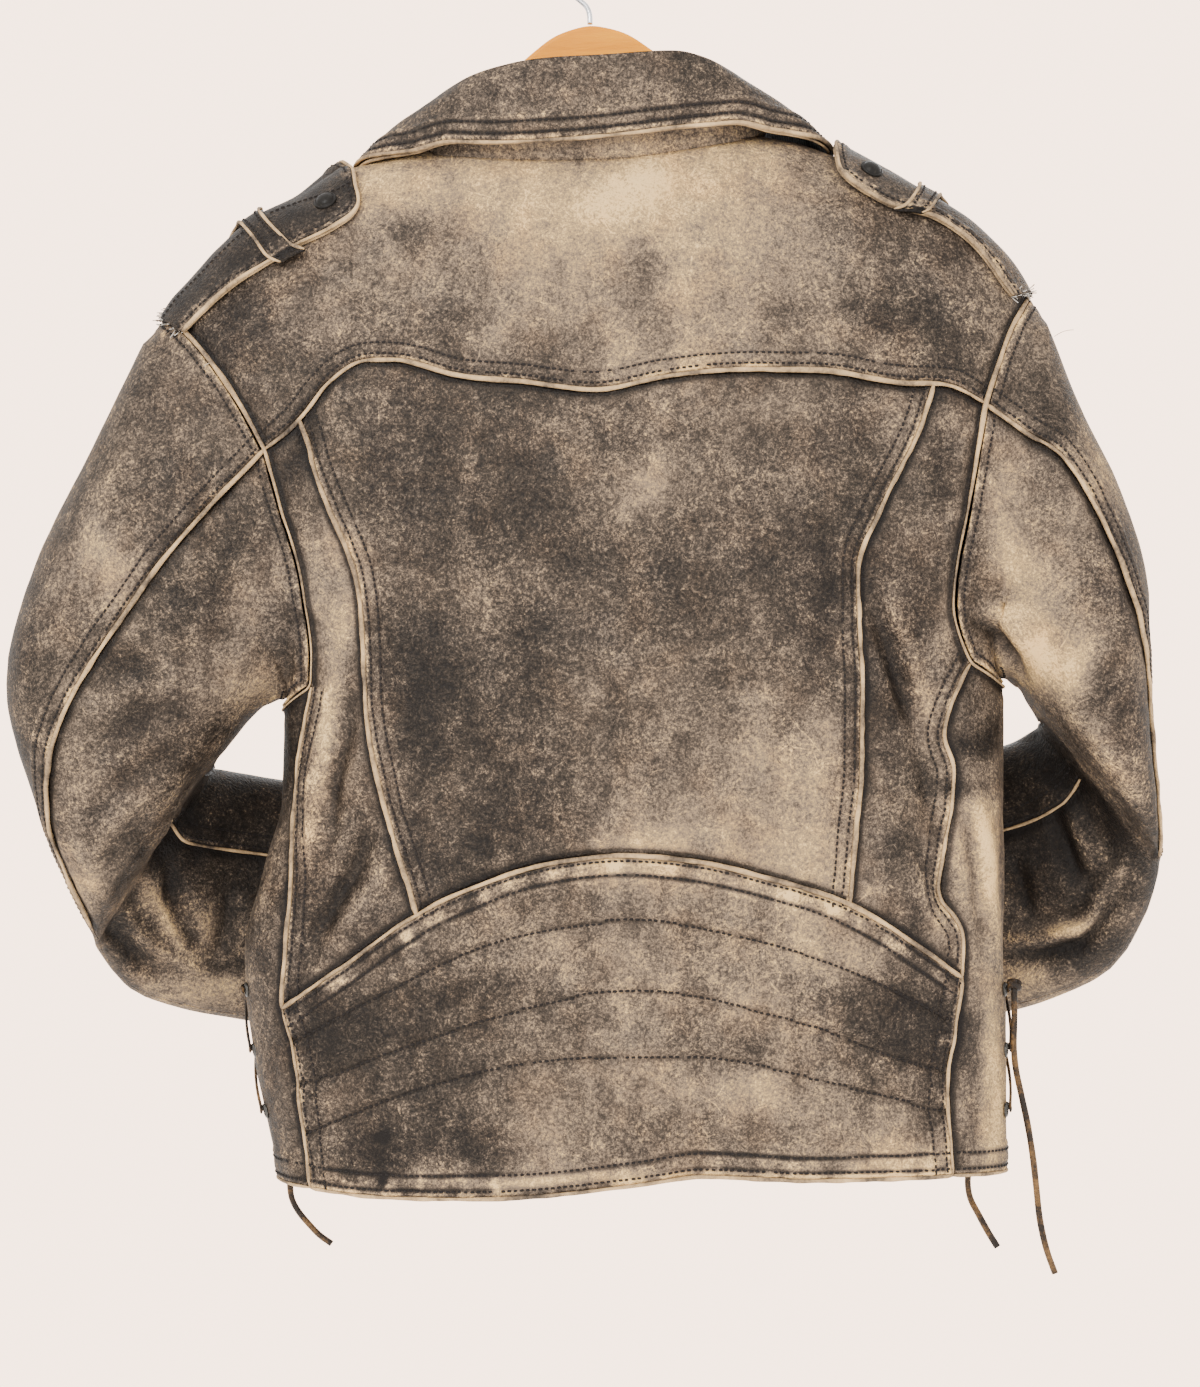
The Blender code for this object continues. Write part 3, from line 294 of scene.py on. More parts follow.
# ------------------------------------------------------------ wear, with some painted shade and light, placed one by one
# Creases: depth, width, then the (x, height) points of the line. A negative depth is a hollow, and a
# group's name says which panels they are on and from which side they show.
CREASES = {
    "body_back": (
        (-3.5, 9, (-160, -300), (-166, -316), (-177, -337)),
        (-5.5, 6, (-123, -530), (-135, -557), (-147, -579), (-163, -604)),
        (3.0, 7, (-113, -540), (-125, -566), (-138, -588), (-154, -610)),
        (-5.0, 6, (-137, -446), (-144, -488), (-149, -519), (-149, -537), (-156, -560)),
        (4.0, 8, (-150, -440), (-157, -490), (-162, -530), (-166, -560)),
        (-5.0, 5.5, (160, -395), (170, -425), (182, -450), (188, -469), (196, -485)),
        (3.5, 6, (170, -392), (181, -420), (193, -450), (203, -476)),
        (-3.5, 6, (190, -480), (196, -517), (208, -587)), (-4.0, 6, (181, -529), (195, -555), (207, -586)),
        (4.0, 6, (221, -505), (230, -535), (238, -564), (240, -615)),
        (-4.0, 5, (214, -510), (222, -540), (230, -566), (233, -618)),
        (-2.5, 6, (245, -470), (247, -520), (249, -570)), (-1.8, 14, (-90, -300), (-96, -360), (-86, -430)),
        (1.5, 16, (-60, -300), (-66, -370), (-50, -440)), (-1.5, 14, (90, -300), (86, -350), (96, -400)),
        (1.6, 18, (20, -470), (30, -510), (10, -545)), (-1.6, 13, (-80, -470), (-60, -510), (-70, -550)),
        (-1.6, 12, (110, -470), (100, -510), (112, -550)),
        (-2.0, 10, (170, -650), (190, -665), (212, -668)), (1.5, 9, (160, -660), (180, -678), (206, -682)),
        (-1.5, 10, (-120, -640), (-140, -668), (-165, -680)),
        (-1.8, 12, (-140, -190), (-120, -215), (-90, -230)),
        (1.4, 14, (150, -190), (160, -220), (190, -250)), (-1.6, 12, (180, -220), (200, -240), (222, -250)),
    ),
    "body_front": (
        (-3.5, 12, (-120, -230), (-110, -300), (-125, -380)),
        (3.0, 12, (-90, -260), (-84, -330), (-96, -400)), (-3.0, 11, (130, -240), (120, -310), (140, -390)),
        (2.6, 12, (95, -270), (90, -340), (104, -410)), (-3.0, 12, (-60, -560), (-90, -600), (-130, -620)),
        (2.4, 12, (-50, -590), (-80, -640), (-120, -660)), (-2.6, 12, (70, -570), (110, -610), (160, -640)),
        (2.2, 11, (60, -610), (100, -660), (150, -690)), (-2.0, 12, (-30, -420), (-40, -480), (-28, -530)),
        (-2.0, 12, (40, -430), (34, -490), (46, -540)),
    ),
    "left_back": (
        (-3.5, 9, (-232, -462), (-262, -470), (-292, -486)),
        (2.6, 9, (-236, -446), (-262, -452), (-286, -462)),
        (-4.0, 9, (-236, -486), (-268, -505), (-300, -534)),
        (3.0, 9, (-240, -500), (-270, -522), (-296, -552)),
        (-3.0, 8, (-252, -520), (-276, -546), (-300, -586)),
        (-2.2, 10, (-200, -410), (-222, -430), (-250, -440)),
        (-2.0, 12, (-300, -330), (-318, -370), (-330, -410)),
        (1.8, 12, (-270, -300), (-282, -350), (-288, -390)),
        (-6.0, 5, (-226, -492), (-240, -517), (-254, -541), (-273, -566), (-289, -596)),
        (4.0, 7, (-269, -559), (-266, -576), (-259, -594), (-250, -614), (-237, -622)),
        (-6.5, 5, (-258, -549), (-258, -575), (-252, -596), (-245, -611), (-236, -617)),
        (4.0, 12, (-241, -562), (-242, -587), (-242, -607)),
        (-5.5, 5, (-225, -576), (-225, -597), (-228, -613), (-238, -626)),
        (-5.5, 6, (-285, -582), (-291, -603), (-281, -619), (-262, -636)),
        (4.0, 5, (-287, -580), (-275, -602), (-263, -617), (-249, -626), (-234, -634)),
        (-3.5, 4, (-240, -628), (-225, -628), (-210, -624)),
        (3.0, 7, (-215, -575), (-212, -600), (-205, -618)),
        (-4.0, 3.5, (-190, -429), (-181, -433), (-178, -441), (-186, -449)),
    ),
    "left_front": (
        (-3.5, 10, (-310, -600), (-270, -590), (-235, -560)),
        (3.0, 10, (-300, -625), (-262, -612), (-228, -590)),
        (-3.0, 11, (-330, -480), (-290, -500), (-250, -490)),
        (2.6, 11, (-325, -450), (-285, -470), (-245, -465)),
        (-2.6, 12, (-300, -350), (-260, -380), (-220, -400)),
        (-2.4, 10, (-180, -560), (-150, -600), (-110, -640)),
    ),
    "right_back": (
        (-3.5, 9, (236, -410), (254, -430), (266, -452), (272, -470)),
        (8.0, 8, (222, -404), (236, -406), (248, -414), (258, -430), (270, -458)),
        (-6.0, 4, (222, -413), (234, -415), (244, -423), (251, -436), (256, -450)),
        (-4.0, 9, (262, -462), (284, -490), (316, -530)), (3.0, 9, (276, -462), (300, -490), (328, -520)),
        (-3.0, 9, (270, -490), (292, -516), (318, -552)), (2.6, 9, (280, -512), (298, -536), (316, -566)),
        (-3.5, 8, (286, -540), (300, -560), (322, -580)), (-2.2, 12, (300, -330), (316, -370), (322, -410)),
        (4.5, 5, (294, -522), (303, -545), (311, -568)), (-5.0, 5, (286, -524), (294, -546), (301, -568)),
        (4.5, 5, (250, -607), (280, -606), (301, -600), (311, -590), (317, -570), (327, -556)),
        (-6.0, 5, (254, -618), (282, -617), (304, -610), (320, -594), (329, -572)),
        (-4.0, 5, (256, -598), (280, -597), (297, -590), (307, -576)),
        (-4.5, 5, (262, -560), (270, -575), (272, -592)), (3.5, 6, (250, -560), (256, -576), (258, -594)),
    ),
    "right_front": (
        (-3.5, 10, (330, -600), (290, -590), (260, -560)), (3.0, 10, (320, -625), (286, -612), (252, -590)),
        (-3.0, 11, (325, -450), (296, -470), (262, -465)), (2.6, 11, (322, -420), (290, -440), (258, -440)),
        (-2.4, 10, (160, -560), (130, -600), (100, -640)),
    ),
}

# Patches of each group: (x, height) of the middle, half width, half height, how much lighter or darker.
# Most patches are the hide's own lighter and darker places; the ones noted below are painted shade and
# light, some in part.
PATCHES = {
    "body": (
        # The light patches on the upper yoke are partly wear and partly painted light, where light from
        # above falls on the shoulders.
        (10, -160, 80, 40, 0.27), (60, -185, 70, 45, 0.22), (-40, -175, 60, 40, 0.17),
        (-20, -235, 90, 30, 0.06), (-105, -150, 36, 28, 0.36), (-108, -186, 14, 12, -0.14),
        (-98, -206, 22, 22, 0.14), (100, -140, 50, 22, 0.18), (50, -246, 70, 24, 0.13),
        (195, -225, 40, 36, -0.16), (172, -243, 18, 16, -0.2), (200, -277, 18, 20, -0.16),
        (170, -200, 30, 26, -0.08), (-215, -270, 30, 40, -0.2), (-205, -226, 24, 24, -0.2),
        (-150, -250, 40, 16, -0.1), (-130, -273, 22, 14, -0.14), (108, -294, 26, 14, 0.16),
        (200, -322, 10, 20, -0.2), (-120, -330, 40, 60, -0.16), (-60, -350, 60, 60, -0.12),
        (-68, -370, 16, 20, -0.16), (34, -345, 22, 16, 0.22), (45, -393, 34, 34, -0.2),
        (70, -380, 18, 22, 0.16), (110, -385, 45, 40, -0.24), (100, -408, 14, 22, 0.22),
        (134, -408, 14, 22, -0.18), (150, -330, 25, 40, -0.18), (-10, -430, 60, 40, 0.02),
        (75, -450, 50, 55, 0.06), (-34, -422, 17, 38, -0.18), (-102, -466, 18, 44, -0.24),
        (20, -500, 60, 30, 0.04), (-63, -455, 34, 30, -0.22), (-45, -520, 40, 34, -0.3),
        (-85, -545, 30, 24, -0.2), (95, -520, 50, 30, 0.06), (60, -552, 66, 30, 0.3),
        (128, -560, 36, 36, 0.2), (104, -497, 20, 16, 0.18), (135, -490, 13, 24, 0.16),
        (150, -603, 28, 16, 0.26), (-150, -420, 14, 50, 0.22), (-155, -480, 12, 50, 0.16),
        (-140, -387, 13, 24, 0.18), (-165, -385, 14, 24, 0.2), (-172, -474, 11, 34, -0.3),
        # The patch at x -190, height -500 is painted shade on the side panel, behind the left side seam.
        (-190, -500, 14, 44, -0.2), (-178, -592, 20, 22, -0.22), (-140, -570, 24, 40, -0.08),
        (175, -560, 24, 36, -0.08), (178, -440, 24, 50, -0.16), (204, -500, 11, 18, -0.2),
        (228, -540, 12, 60, 0.3), (240, -560, 10, 50, 0.2), (227, -477, 8, 8, -0.34),
        (221, -505, 8, 8, -0.3), (236, -680, 14, 60, 0.42), (-150, -650, 34, 22, -0.26),
        (-100, -650, 50, 20, -0.08), (-85, -634, 38, 12, -0.14), (-90, -700, 44, 30, -0.24),
        (-130, -726, 24, 18, -0.2), (192, -655, 30, 30, -0.28), (203, -680, 12, 40, -0.04),
        (180, -736, 36, 16, 0.28), (40, -620, 70, 24, 0.14), (20, -700, 120, 24, 0.16),
        (30, -668, 30, 24, 0.14), (100, -642, 26, 20, 0.18), (110, -700, 60, 20, 0.16),
        (60, -742, 160, 6, 0.22), (-60, -742, 100, 6, 0.16), (-127, -707, 4, 4, -0.9),
        (-127, -741, 4, 5, -0.9), (-40, -590, 80, 16, 0.08), (-195, -560, 12, 80, 0.06),
        (-187, -242, 26, 18, -0.16), (-66, -240, 18, 14, -0.13), (60, -266, 70, 12, 0.12),
        (165, -242, 14, 12, -0.12), (-50, -296, 28, 16, -0.14), (22, -312, 24, 14, -0.16),
        (-102, -360, 14, 16, 0.16), (2, -386, 18, 24, -0.2), (204, -396, 12, 14, 0.22),
        (34, -424, 14, 12, -0.16), (108, -448, 26, 14, 0.16), (136, -470, 14, 14, 0.18),
        (-82, -526, 22, 14, 0.18), (14, -554, 34, 14, 0.22), (-165, -580, 18, 16, -0.18),
        (204, -578, 10, 14, 0.2), (-200, -604, 12, 18, -0.18), (-88, -604, 26, 14, -0.14),
        (-60, -630, 44, 10, -0.12), (136, -630, 12, 10, -0.15), (-136, -716, 18, 20, -0.18),
        (-68, -708, 16, 12, -0.2), (102, -708, 16, 10, -0.14), (165, -722, 30, 20, 0.18),
        (206, -702, 12, 24, 0.2), (238, -690, 10, 50, 0.15), (100, -682, 16, 10, 0.15),
        (0, -670, 14, 20, 0.12), (204, -420, 12, 80, 0.16), (-100, -708, 46, 16, -0.12),
        (60, -710, 40, 12, -0.14),
    ),
    # Painted light on the collar's stand, which lies in the shade under the leaf.
    "stand": ((0, -135, 150, 60, 0.16),),
    "left": (
        (-300, -330, 40, 60, 0.06), (-330, -430, 16, 50, -0.06), (-250, -330, 24, 40, -0.12),
        (-270, -386, 18, 22, 0.22), (-300, -420, 30, 60, 0.04), (-345, -480, 12, 30, -0.25),
        (-300, -560, 30, 50, 0.08), (-305, -580, 18, 20, 0.2), (-210, -440, 24, 20, 0.16),
        (-190, -400, 10, 40, 0.12), (-240, -400, 24, 30, -0.12), (-205, -375, 14, 28, -0.22),
        (-236, -398, 15, 15, -0.18), (-270, -440, 15, 17, -0.18), (-250, -500, 30, 30, -0.12),
        (-291, -577, 9, 16, 0.2), (-222, -396, 22, 16, -0.22), (-200, -474, 22, 14, -0.2),
        (-240, -418, 18, 14, -0.14), (-340, -474, 10, 16, 0.2), (-298, -540, 22, 22, -0.12),
    ),
    # On the left forearm the large dark patch is painted shadow of the upper arm on leather that is darker
    # too; the narrow light strips are rubbed fold ridges with painted light on them, and the dark strips are
    # painted shade in the valleys between them.
    "left_forearm": (
        (-220, -540, 70, 50, -0.4), (-250, -560, 16, 30, -0.25), (-268, -575, 9, 26, 0.34),
        (-243, -583, 13, 22, 0.3), (-230, -640, 40, 12, 0.3), (-288, -602, 8, 20, -0.3),
        (-222, -600, 12, 20, -0.1),
    ),
    "right": (
        (290, -350, 30, 60, 0.04), (250, -400, 18, 50, 0.16), (330, -500, 20, 60, -0.1),
        (240, -340, 14, 38, 0.22), (280, -436, 34, 28, 0.26), (340, -600, 14, 30, 0.02),
        (262, -310, 20, 30, -0.14), (306, -345, 16, 20, 0.14), (272, -262, 22, 20, 0.18),
        (268, -326, 22, 24, 0.2), (240, -372, 14, 34, 0.18), (274, -448, 26, 14, 0.2),
        # The two patches at x 238 and x 256 are a painted highlight along the ridge of the armpit fold.
        (238, -402, 14, 5, 0.2), (256, -420, 7, 14, 0.2), (306, -420, 20, 60, -0.16),
    ),
    # On the right forearm the large dark patches are painted shadow of the upper arm on leather that is
    # darker too; the narrow light strips are rubbed fold ridges with painted light on them, and the dark
    # strips are painted shade in the valleys between them.
    "right_forearm": (
        (270, -540, 60, 60, -0.46), (316, -530, 24, 40, -0.3), (303, -545, 6, 22, 0.36),
        (290, -603, 30, 7, 0.4), (318, -574, 7, 14, 0.3), (290, -640, 50, 16, 0.2),
        (300, -618, 26, 7, -0.3),
    ),
}
FOREARM = 22  # the sleeves are folded forwards from here on, so that what is further forward is the forearm

# Colours of the hide in linear light, from its darkest tone to bare rubbed leather.
HIDE = (
    (0.0, (0.006, 0.0044, 0.0035)), (0.22, (0.013, 0.0095, 0.0068)), (0.42, (0.03, 0.0222, 0.0156)),
    (0.58, (0.07, 0.0518, 0.038)), (0.73, (0.172, 0.122, 0.08)), (0.88, (0.35, 0.23, 0.1)),
    (1.0, (0.61, 0.4, 0.175)),
)
# Colours of the welts, the laces and the hanger's wood, in the same way.
WELT = (
    (0.34, (0.025, 0.019, 0.014)), (0.45, (0.11, 0.077, 0.048)), (0.56, (0.32, 0.21, 0.105)),
    (0.75, (0.6, 0.4, 0.2)),
)
THONG = ((0.36, (0.005, 0.004, 0.003)), (0.52, (0.016, 0.01, 0.006)), (0.72, (0.17, 0.09, 0.03)))
WOOD = ((0.25, (0.46, 0.15, 0.0)), (0.5, (0.62, 0.22, 0.0)), (0.72, (0.72, 0.29, 0.0)))


# ------------------------------------------------------------ camera and studio
CAMERA = (6, -1900, -456)
FRAME_HEIGHT = 832.2  # millimetres that the camera sees at the hanger's distance
SENSOR = 36.0
FLOOR_HEIGHT = -1500


# ------------------------------------------------------------ shape of the jacket
def table(columns, rows):
    """The rows as one array of metres for each named column."""
    values = np.array(rows, float) * MM
    return {name: values[:, i] for i, name in enumerate(columns.split())}


def smooth(at, places, values):
    """A smooth curve through values at increasing places, which never overshoots between two of them."""
    places, values = np.asarray(places, float), np.asarray(values, float)
    extra = (1,) * (values.ndim - 1)
    steps = np.diff(values, axis=0) / np.diff(places).reshape(-1, *extra)
    slopes = np.concatenate([steps[:1], (steps[1:] + steps[:-1]) / 2, steps[-1:]])
    slopes[1:-1][steps[1:] * steps[:-1] <= 0] = 0
    at = np.clip(np.asarray(at, float), places[0], places[-1])
    i = np.clip(np.searchsorted(places, at) - 1, 0, len(places) - 2)
    span = np.reshape(places[i + 1] - places[i], at.shape + extra)
    t = np.reshape(at - places[i], at.shape + extra) / span
    start = (2 * t**3 - 3 * t**2 + 1) * values[i] + (t**3 - 2 * t**2 + t) * span * slopes[i]
    return start + (3 * t**2 - 2 * t**3) * values[i + 1] + (t**3 - t**2) * span * slopes[i + 1]


def signed_power(value, power):
    return np.sign(value) * np.abs(value) ** power


RINGS = {name: column[::-1] for name, column in table(TORSO_COLUMNS, TORSO).items()}


def ring(height):
    """Centre, half width, back depth and front depth of the torso at a height."""
    names = ("left", "right", "back", "front")
    left, right, back, front = (smooth(height, RINGS["height"], RINGS[name]) for name in names)
    return (left + right) / 2, (right - left) / 2, back, front


def angle_at(x, height, front=False):
    """Angle round the torso of the point that is at x when seen from behind, or from in front."""
    centre, half, _, _ = ring(height)
    angle = np.arcsin(signed_power(np.clip((x - centre) / half, -1, 1), ROUNDNESS / 2))
    if not front:
        return angle
    return np.where(angle < 0, -math.pi - angle, math.pi - angle)


def near_line(points, line):
    """Distance of each (x, height) point from a line, and how far along it, 0 to 1, the nearest spot is."""
    best, place = np.full(points.shape[:-1], 1e9), np.zeros(points.shape[:-1])
    starts = distances(line)
    for i, length in enumerate(np.linalg.norm(np.diff(line, axis=0), axis=1)):
        way = (line[i + 1] - line[i]) / length
        t = np.clip(((points - line[i]) @ way), 0, length)
        away = np.linalg.norm(points - line[i] - t[..., None] * way, axis=-1)
        closer = away < best
        best = np.where(closer, away, best)
        place = np.where(closer, (starts[i] + t) / starts[-1], place)
    return best, place


def fold_depth(x, height):
    """How far the back is pressed in by the part's own folds."""
    folds = table(FOLD_COLUMNS, FOLDS)
    points = np.stack([x, height + 0 * x], axis=-1)
    depth = 0 * x
    for x1, z1, x2, z2, deep, wide in zip(*(folds[k] for k in FOLD_COLUMNS.split())):
        away, _ = near_line(points, np.array([(x1, z1), (x2, z2)]))
        depth = depth + deep * np.exp(-((away / wide) ** 2))
    return depth


def torso(angle, height, out=0.0):
    """Point of the jacket's inner surface, moved out. Angle 0 is centre back, and 90 degrees is a side."""
    centre, half, back, front = ring(height)
    x = centre + (half + out) * signed_power(np.sin(angle), 2 / ROUNDNESS)
    depth = np.where(np.cos(angle) > 0, back, front) + out
    y = -depth * signed_power(np.cos(angle), 2 / ROUNDNESS)
    y = y + np.where(np.cos(angle) > 0, fold_depth(x, height) * np.clip(-y / depth, 0, 1), 0)
    return np.stack([x, y, height + 0 * angle], axis=-1)


def distances(line):
    """Distance along a line to each of its points."""
    return np.concatenate([[0], np.cumsum(np.linalg.norm(np.diff(line, axis=0), axis=1))])


def sampled(line, places, at):
    """Points of a line at some places, with its own points at places of their own."""
    return np.stack([np.interp(at, places, line[:, i]) for i in range(line.shape[1])], axis=-1)


def along(points, count):
    """count + 1 points spaced evenly along a smooth line through the given ones."""
    points = np.asarray(points, float)
    place = distances(points)
    return smooth(np.linspace(0, place[-1], count + 1), place, points)


def seam(points, facets, front=False):
    """A seam given as (x, height) in millimetres, as rows of angle and height."""
    line = along(np.array(points, float) * MM, facets * FINER)
    return np.stack([angle_at(line[:, 0], line[:, 1], front), line[:, 1]], axis=-1)


def ridge_heights(side, start, end, count):
    """Heights of count + 1 points spaced evenly along the left or right ridge between two heights."""
    heights = np.linspace(start, end, 200)
    centre, half, _, _ = ring(heights)
    length = np.concatenate([[0], np.cumsum(np.hypot(np.diff(centre + side * half), np.diff(heights)))])
    return np.interp(np.linspace(0, length[-1], count + 1), length, heights)


def joined(*lines):
    """Lines end to end as one, without repeating the points they share."""
    return np.concatenate([lines[0]] + [line[1:] for line in lines[1:]])


def cross_seam(points, cuts):
    """A seam across the back, cut at two x places into its side, centre and side stretches."""
    dense = along(np.array(points, float) * MM, 400)
    stops = [0, *(int(np.argmin(np.abs(dense[:, 0] - x * MM))) for x in cuts), len(dense) - 1]
    counts = (SIDE_FACETS, CENTRE_FACETS, SIDE_FACETS)
    return joined(*(seam(dense[a : b + 1] / MM, n) for a, b, n in zip(stops, stops[1:], counts)))


def resampled(line, count):
    """count + 1 rows of a line, evenly spaced by row and not by length."""
    at = np.linspace(0, len(line) - 1, count + 1)
    return sampled(line, range(len(line)), at)


def length_of(line):
    return float(np.linalg.norm(np.diff(line, axis=0), axis=1).sum())


def patch(bottom, top, left, right, spacing):
    """The grid between four edges: bottom and top run left to right, left and right run bottom to top."""
    wide = max(length_of(torso(e[:, 0], e[:, 1])) for e in (bottom, top))
    high = max(length_of(torso(e[:, 0], e[:, 1])) for e in (left, right))
    columns, rows = round(wide / spacing), round(high / spacing)
    bottom, top = resampled(bottom, columns), resampled(top, columns)
    left, right = resampled(left, rows), resampled(right, rows)
    u = np.linspace(0, 1, columns + 1)[None, :, None]
    v = np.linspace(0, 1, rows + 1)[:, None, None]
    level = (1 - v) * bottom[None] + v * top[None]
    upright = (1 - u) * left[:, None] + u * right[:, None]
    corners = (1 - v) * ((1 - u) * bottom[0] + u * bottom[-1]) + v * ((1 - u) * top[0] + u * top[-1])
    return level + upright - corners


def body_lines():
    """Every panel of the body as rows of angle and height, and its seams, armhole loops and neck line."""
    yoke = cross_seam(YOKE_SEAM, (PRINCESS_LEFT[0][0], PRINCESS_RIGHT[0][0]))
    waist = cross_seam(WAIST_SEAM, (PRINCESS_LEFT[-1][0], PRINCESS_RIGHT[-1][0]))
    hem_back = cross_seam(HEM, (PRINCESS_LEFT[-1][0], PRINCESS_RIGHT[-1][0]))
    split = (SIDE_FACETS * FINER, (SIDE_FACETS + CENTRE_FACETS) * FINER)
    princess = []
    for points, place in ((PRINCESS_LEFT, split[0]), (PRINCESS_RIGHT, split[1])):
        line = seam(points, ARMHOLE_ROWS + SIDE_ROWS)
        line[0], line[-1] = yoke[place], waist[place]
        princess.append(line[::-1])
    neck_back = seam(NECK_BACK, NECK_FACETS)
    neck_back[0, 0], neck_back[-1, 0] = -math.pi / 2, math.pi / 2
    lines_left = (ARMHOLE_BACK_LEFT, ARMHOLE_FRONT_LEFT, UNDERARM_LEFT, SIDE_SEAM_LEFT, BAND_SEAM_LEFT)
    lines_right = (ARMHOLE_BACK_RIGHT, ARMHOLE_FRONT_RIGHT, UNDERARM_RIGHT, SIDE_SEAM_RIGHT, BAND_SEAM_RIGHT)
    sides = (("left", -1, *lines_left), ("right", 1, *lines_right))
    edges, shoulders = {}, {}
    for name, side, armhole, armhole_front, underarm, side_seam, band_seam in sides:
        end = 0 if side < 0 else -1
        yoke_end = next(i for i, p in enumerate(armhole) if abs(p[0] - YOKE_SEAM[end][0]) < 1)
        yoke_side = seam(armhole[: yoke_end + 1], YOKE_ROWS)
        yoke_side[0, 0] = side * math.pi / 2
        lower = seam(armhole[yoke_end:], ARMHOLE_ROWS)
        side_line = seam(side_seam, SIDE_ROWS)
        band = seam(band_seam, WAIST_ROWS)
        yoke_side[-1] = lower[0] = yoke[end]
        side_line[-1] = band[0] = waist[end]
        band[-1] = hem_back[end]
        side_line[0] = lower[-1]
        front_top = side * math.radians(SIDE_FRONT_ANGLE)
        count = UNDERARM_FACETS * FINER + 1
        turn = np.linspace(lower[-1][0], front_top, count)
        dip = np.sin(np.linspace(0, math.pi, count))
        under = np.stack([turn, lower[-1][1] + (underarm * MM - lower[-1][1]) * dip], axis=-1)
        heights = np.linspace(under[-1][1], HEM_FRONT * MM, len(side_line) + len(band) - 1)
        side_front = np.stack([np.full(len(heights), front_top), heights], axis=-1)
        front_line = seam(armhole_front, FRONT_ARMHOLE_ROWS, front=True)
        front_line[0, 0] = side * math.pi / 2
        front_line[-1] = under[-1]
        edges[name] = dict(
            yoke_side=yoke_side, lower=lower, side=side_line, band=band, under=under,
            side_front=side_front, front=front_line,
        )
        heights = ridge_heights(side, yoke_side[0][1], neck_back[end][1], SHOULDER_FACETS * FINER)
        shoulders[name] = np.stack([np.full(len(heights), side * math.pi / 2), heights], axis=-1)
    left, right = edges["left"], edges["right"]
    yoke_top = joined(shoulders["left"], neck_back, shoulders["right"][::-1])
    a, b = split
    left_side = joined(left["lower"], left["side"])[::-1]
    right_side = joined(right["lower"], right["side"])[::-1]
    panels = {
        "back_yoke": (yoke, yoke_top, left["yoke_side"][::-1], right["yoke_side"][::-1]),
        "back_centre": (waist[a : b + 1], yoke[a : b + 1], *princess),
        "back_side_left": (waist[: a + 1], yoke[: a + 1], left_side, princess[0]),
        "back_side_right": (waist[b:], yoke[b:], princess[1], right_side),
        "waist_panel_back": (hem_back, waist, left["band"][::-1], right["band"][::-1]),
    }
    neck = [neck_back]
    for name, side, points in (("left", -1, NECK_FRONT_LEFT), ("right", 1, NECK_FRONT_RIGHT)):
        edge = edges[name]
        back_edge = joined(edge["side"], edge["band"])
        count = UNDERARM_FACETS * FINER + 1
        hem_height = np.linspace(back_edge[-1][1], HEM_FRONT * MM, count)
        hem_angle = np.linspace(back_edge[-1][0], edge["side_front"][-1][0], count)
        hem = np.stack([hem_angle, hem_height], axis=-1)
        grid = (hem, edge["under"], back_edge[::-1], edge["side_front"][::-1])
        if side < 0:
            grid = (hem[::-1], edge["under"][::-1], grid[3], grid[2])
        panels[f"side_panel_{name}"] = grid
        edge["hem"] = hem
        front_neck = seam(points, FRONT_NECK_FACETS, front=True)
        front_neck[0] = neck_back[0 if side < 0 else -1]
        rows = len(back_edge) + FRONT_ARMHOLE_ROWS * FINER
        heights = np.linspace(front_neck[-1][1], HEM_FRONT * MM, rows)
        _, half, _, _ = ring(heights)
        edge_angle = np.arcsin((ZIP_WIDTH / 2 * MM / half) ** (ROUNDNESS / 2))
        centre_front = np.stack([side * (math.pi - edge_angle), heights], axis=-1)
        front_neck[-1] = centre_front[0]
        top = joined(shoulders[name], front_neck)
        hem_turn = np.linspace(edge["side_front"][-1][0], centre_front[-1][0], len(top))
        hem_front = np.stack([hem_turn, np.full(len(top), HEM_FRONT * MM)], axis=-1)
        outer = joined(edge["front"], edge["side_front"])[::-1]
        grid = (hem_front, top, outer, centre_front[::-1])
        if side < 0:
            grid = (hem_front[::-1], top[::-1], grid[3], grid[2])
        panels[f"front_{name}"] = grid
        edge.update(hem_front=hem_front, centre_front=centre_front, neck=front_neck)
        neck.append(front_neck)
    seams = dict(yoke=yoke, waist=waist, hem=hem_back)
    seams.update(princess_left=princess[0][::-1], princess_right=princess[1][::-1])
    neck_line = joined(neck[1][::-1], neck[0], neck[2])
    return panels, seams, edges, neck_line


def armhole_loop(edge):
    """Once round an armhole: down its back, under the arm and up its front."""
    return joined(edge["yoke_side"], edge["lower"], edge["under"], edge["front"][::-1])[:-1]


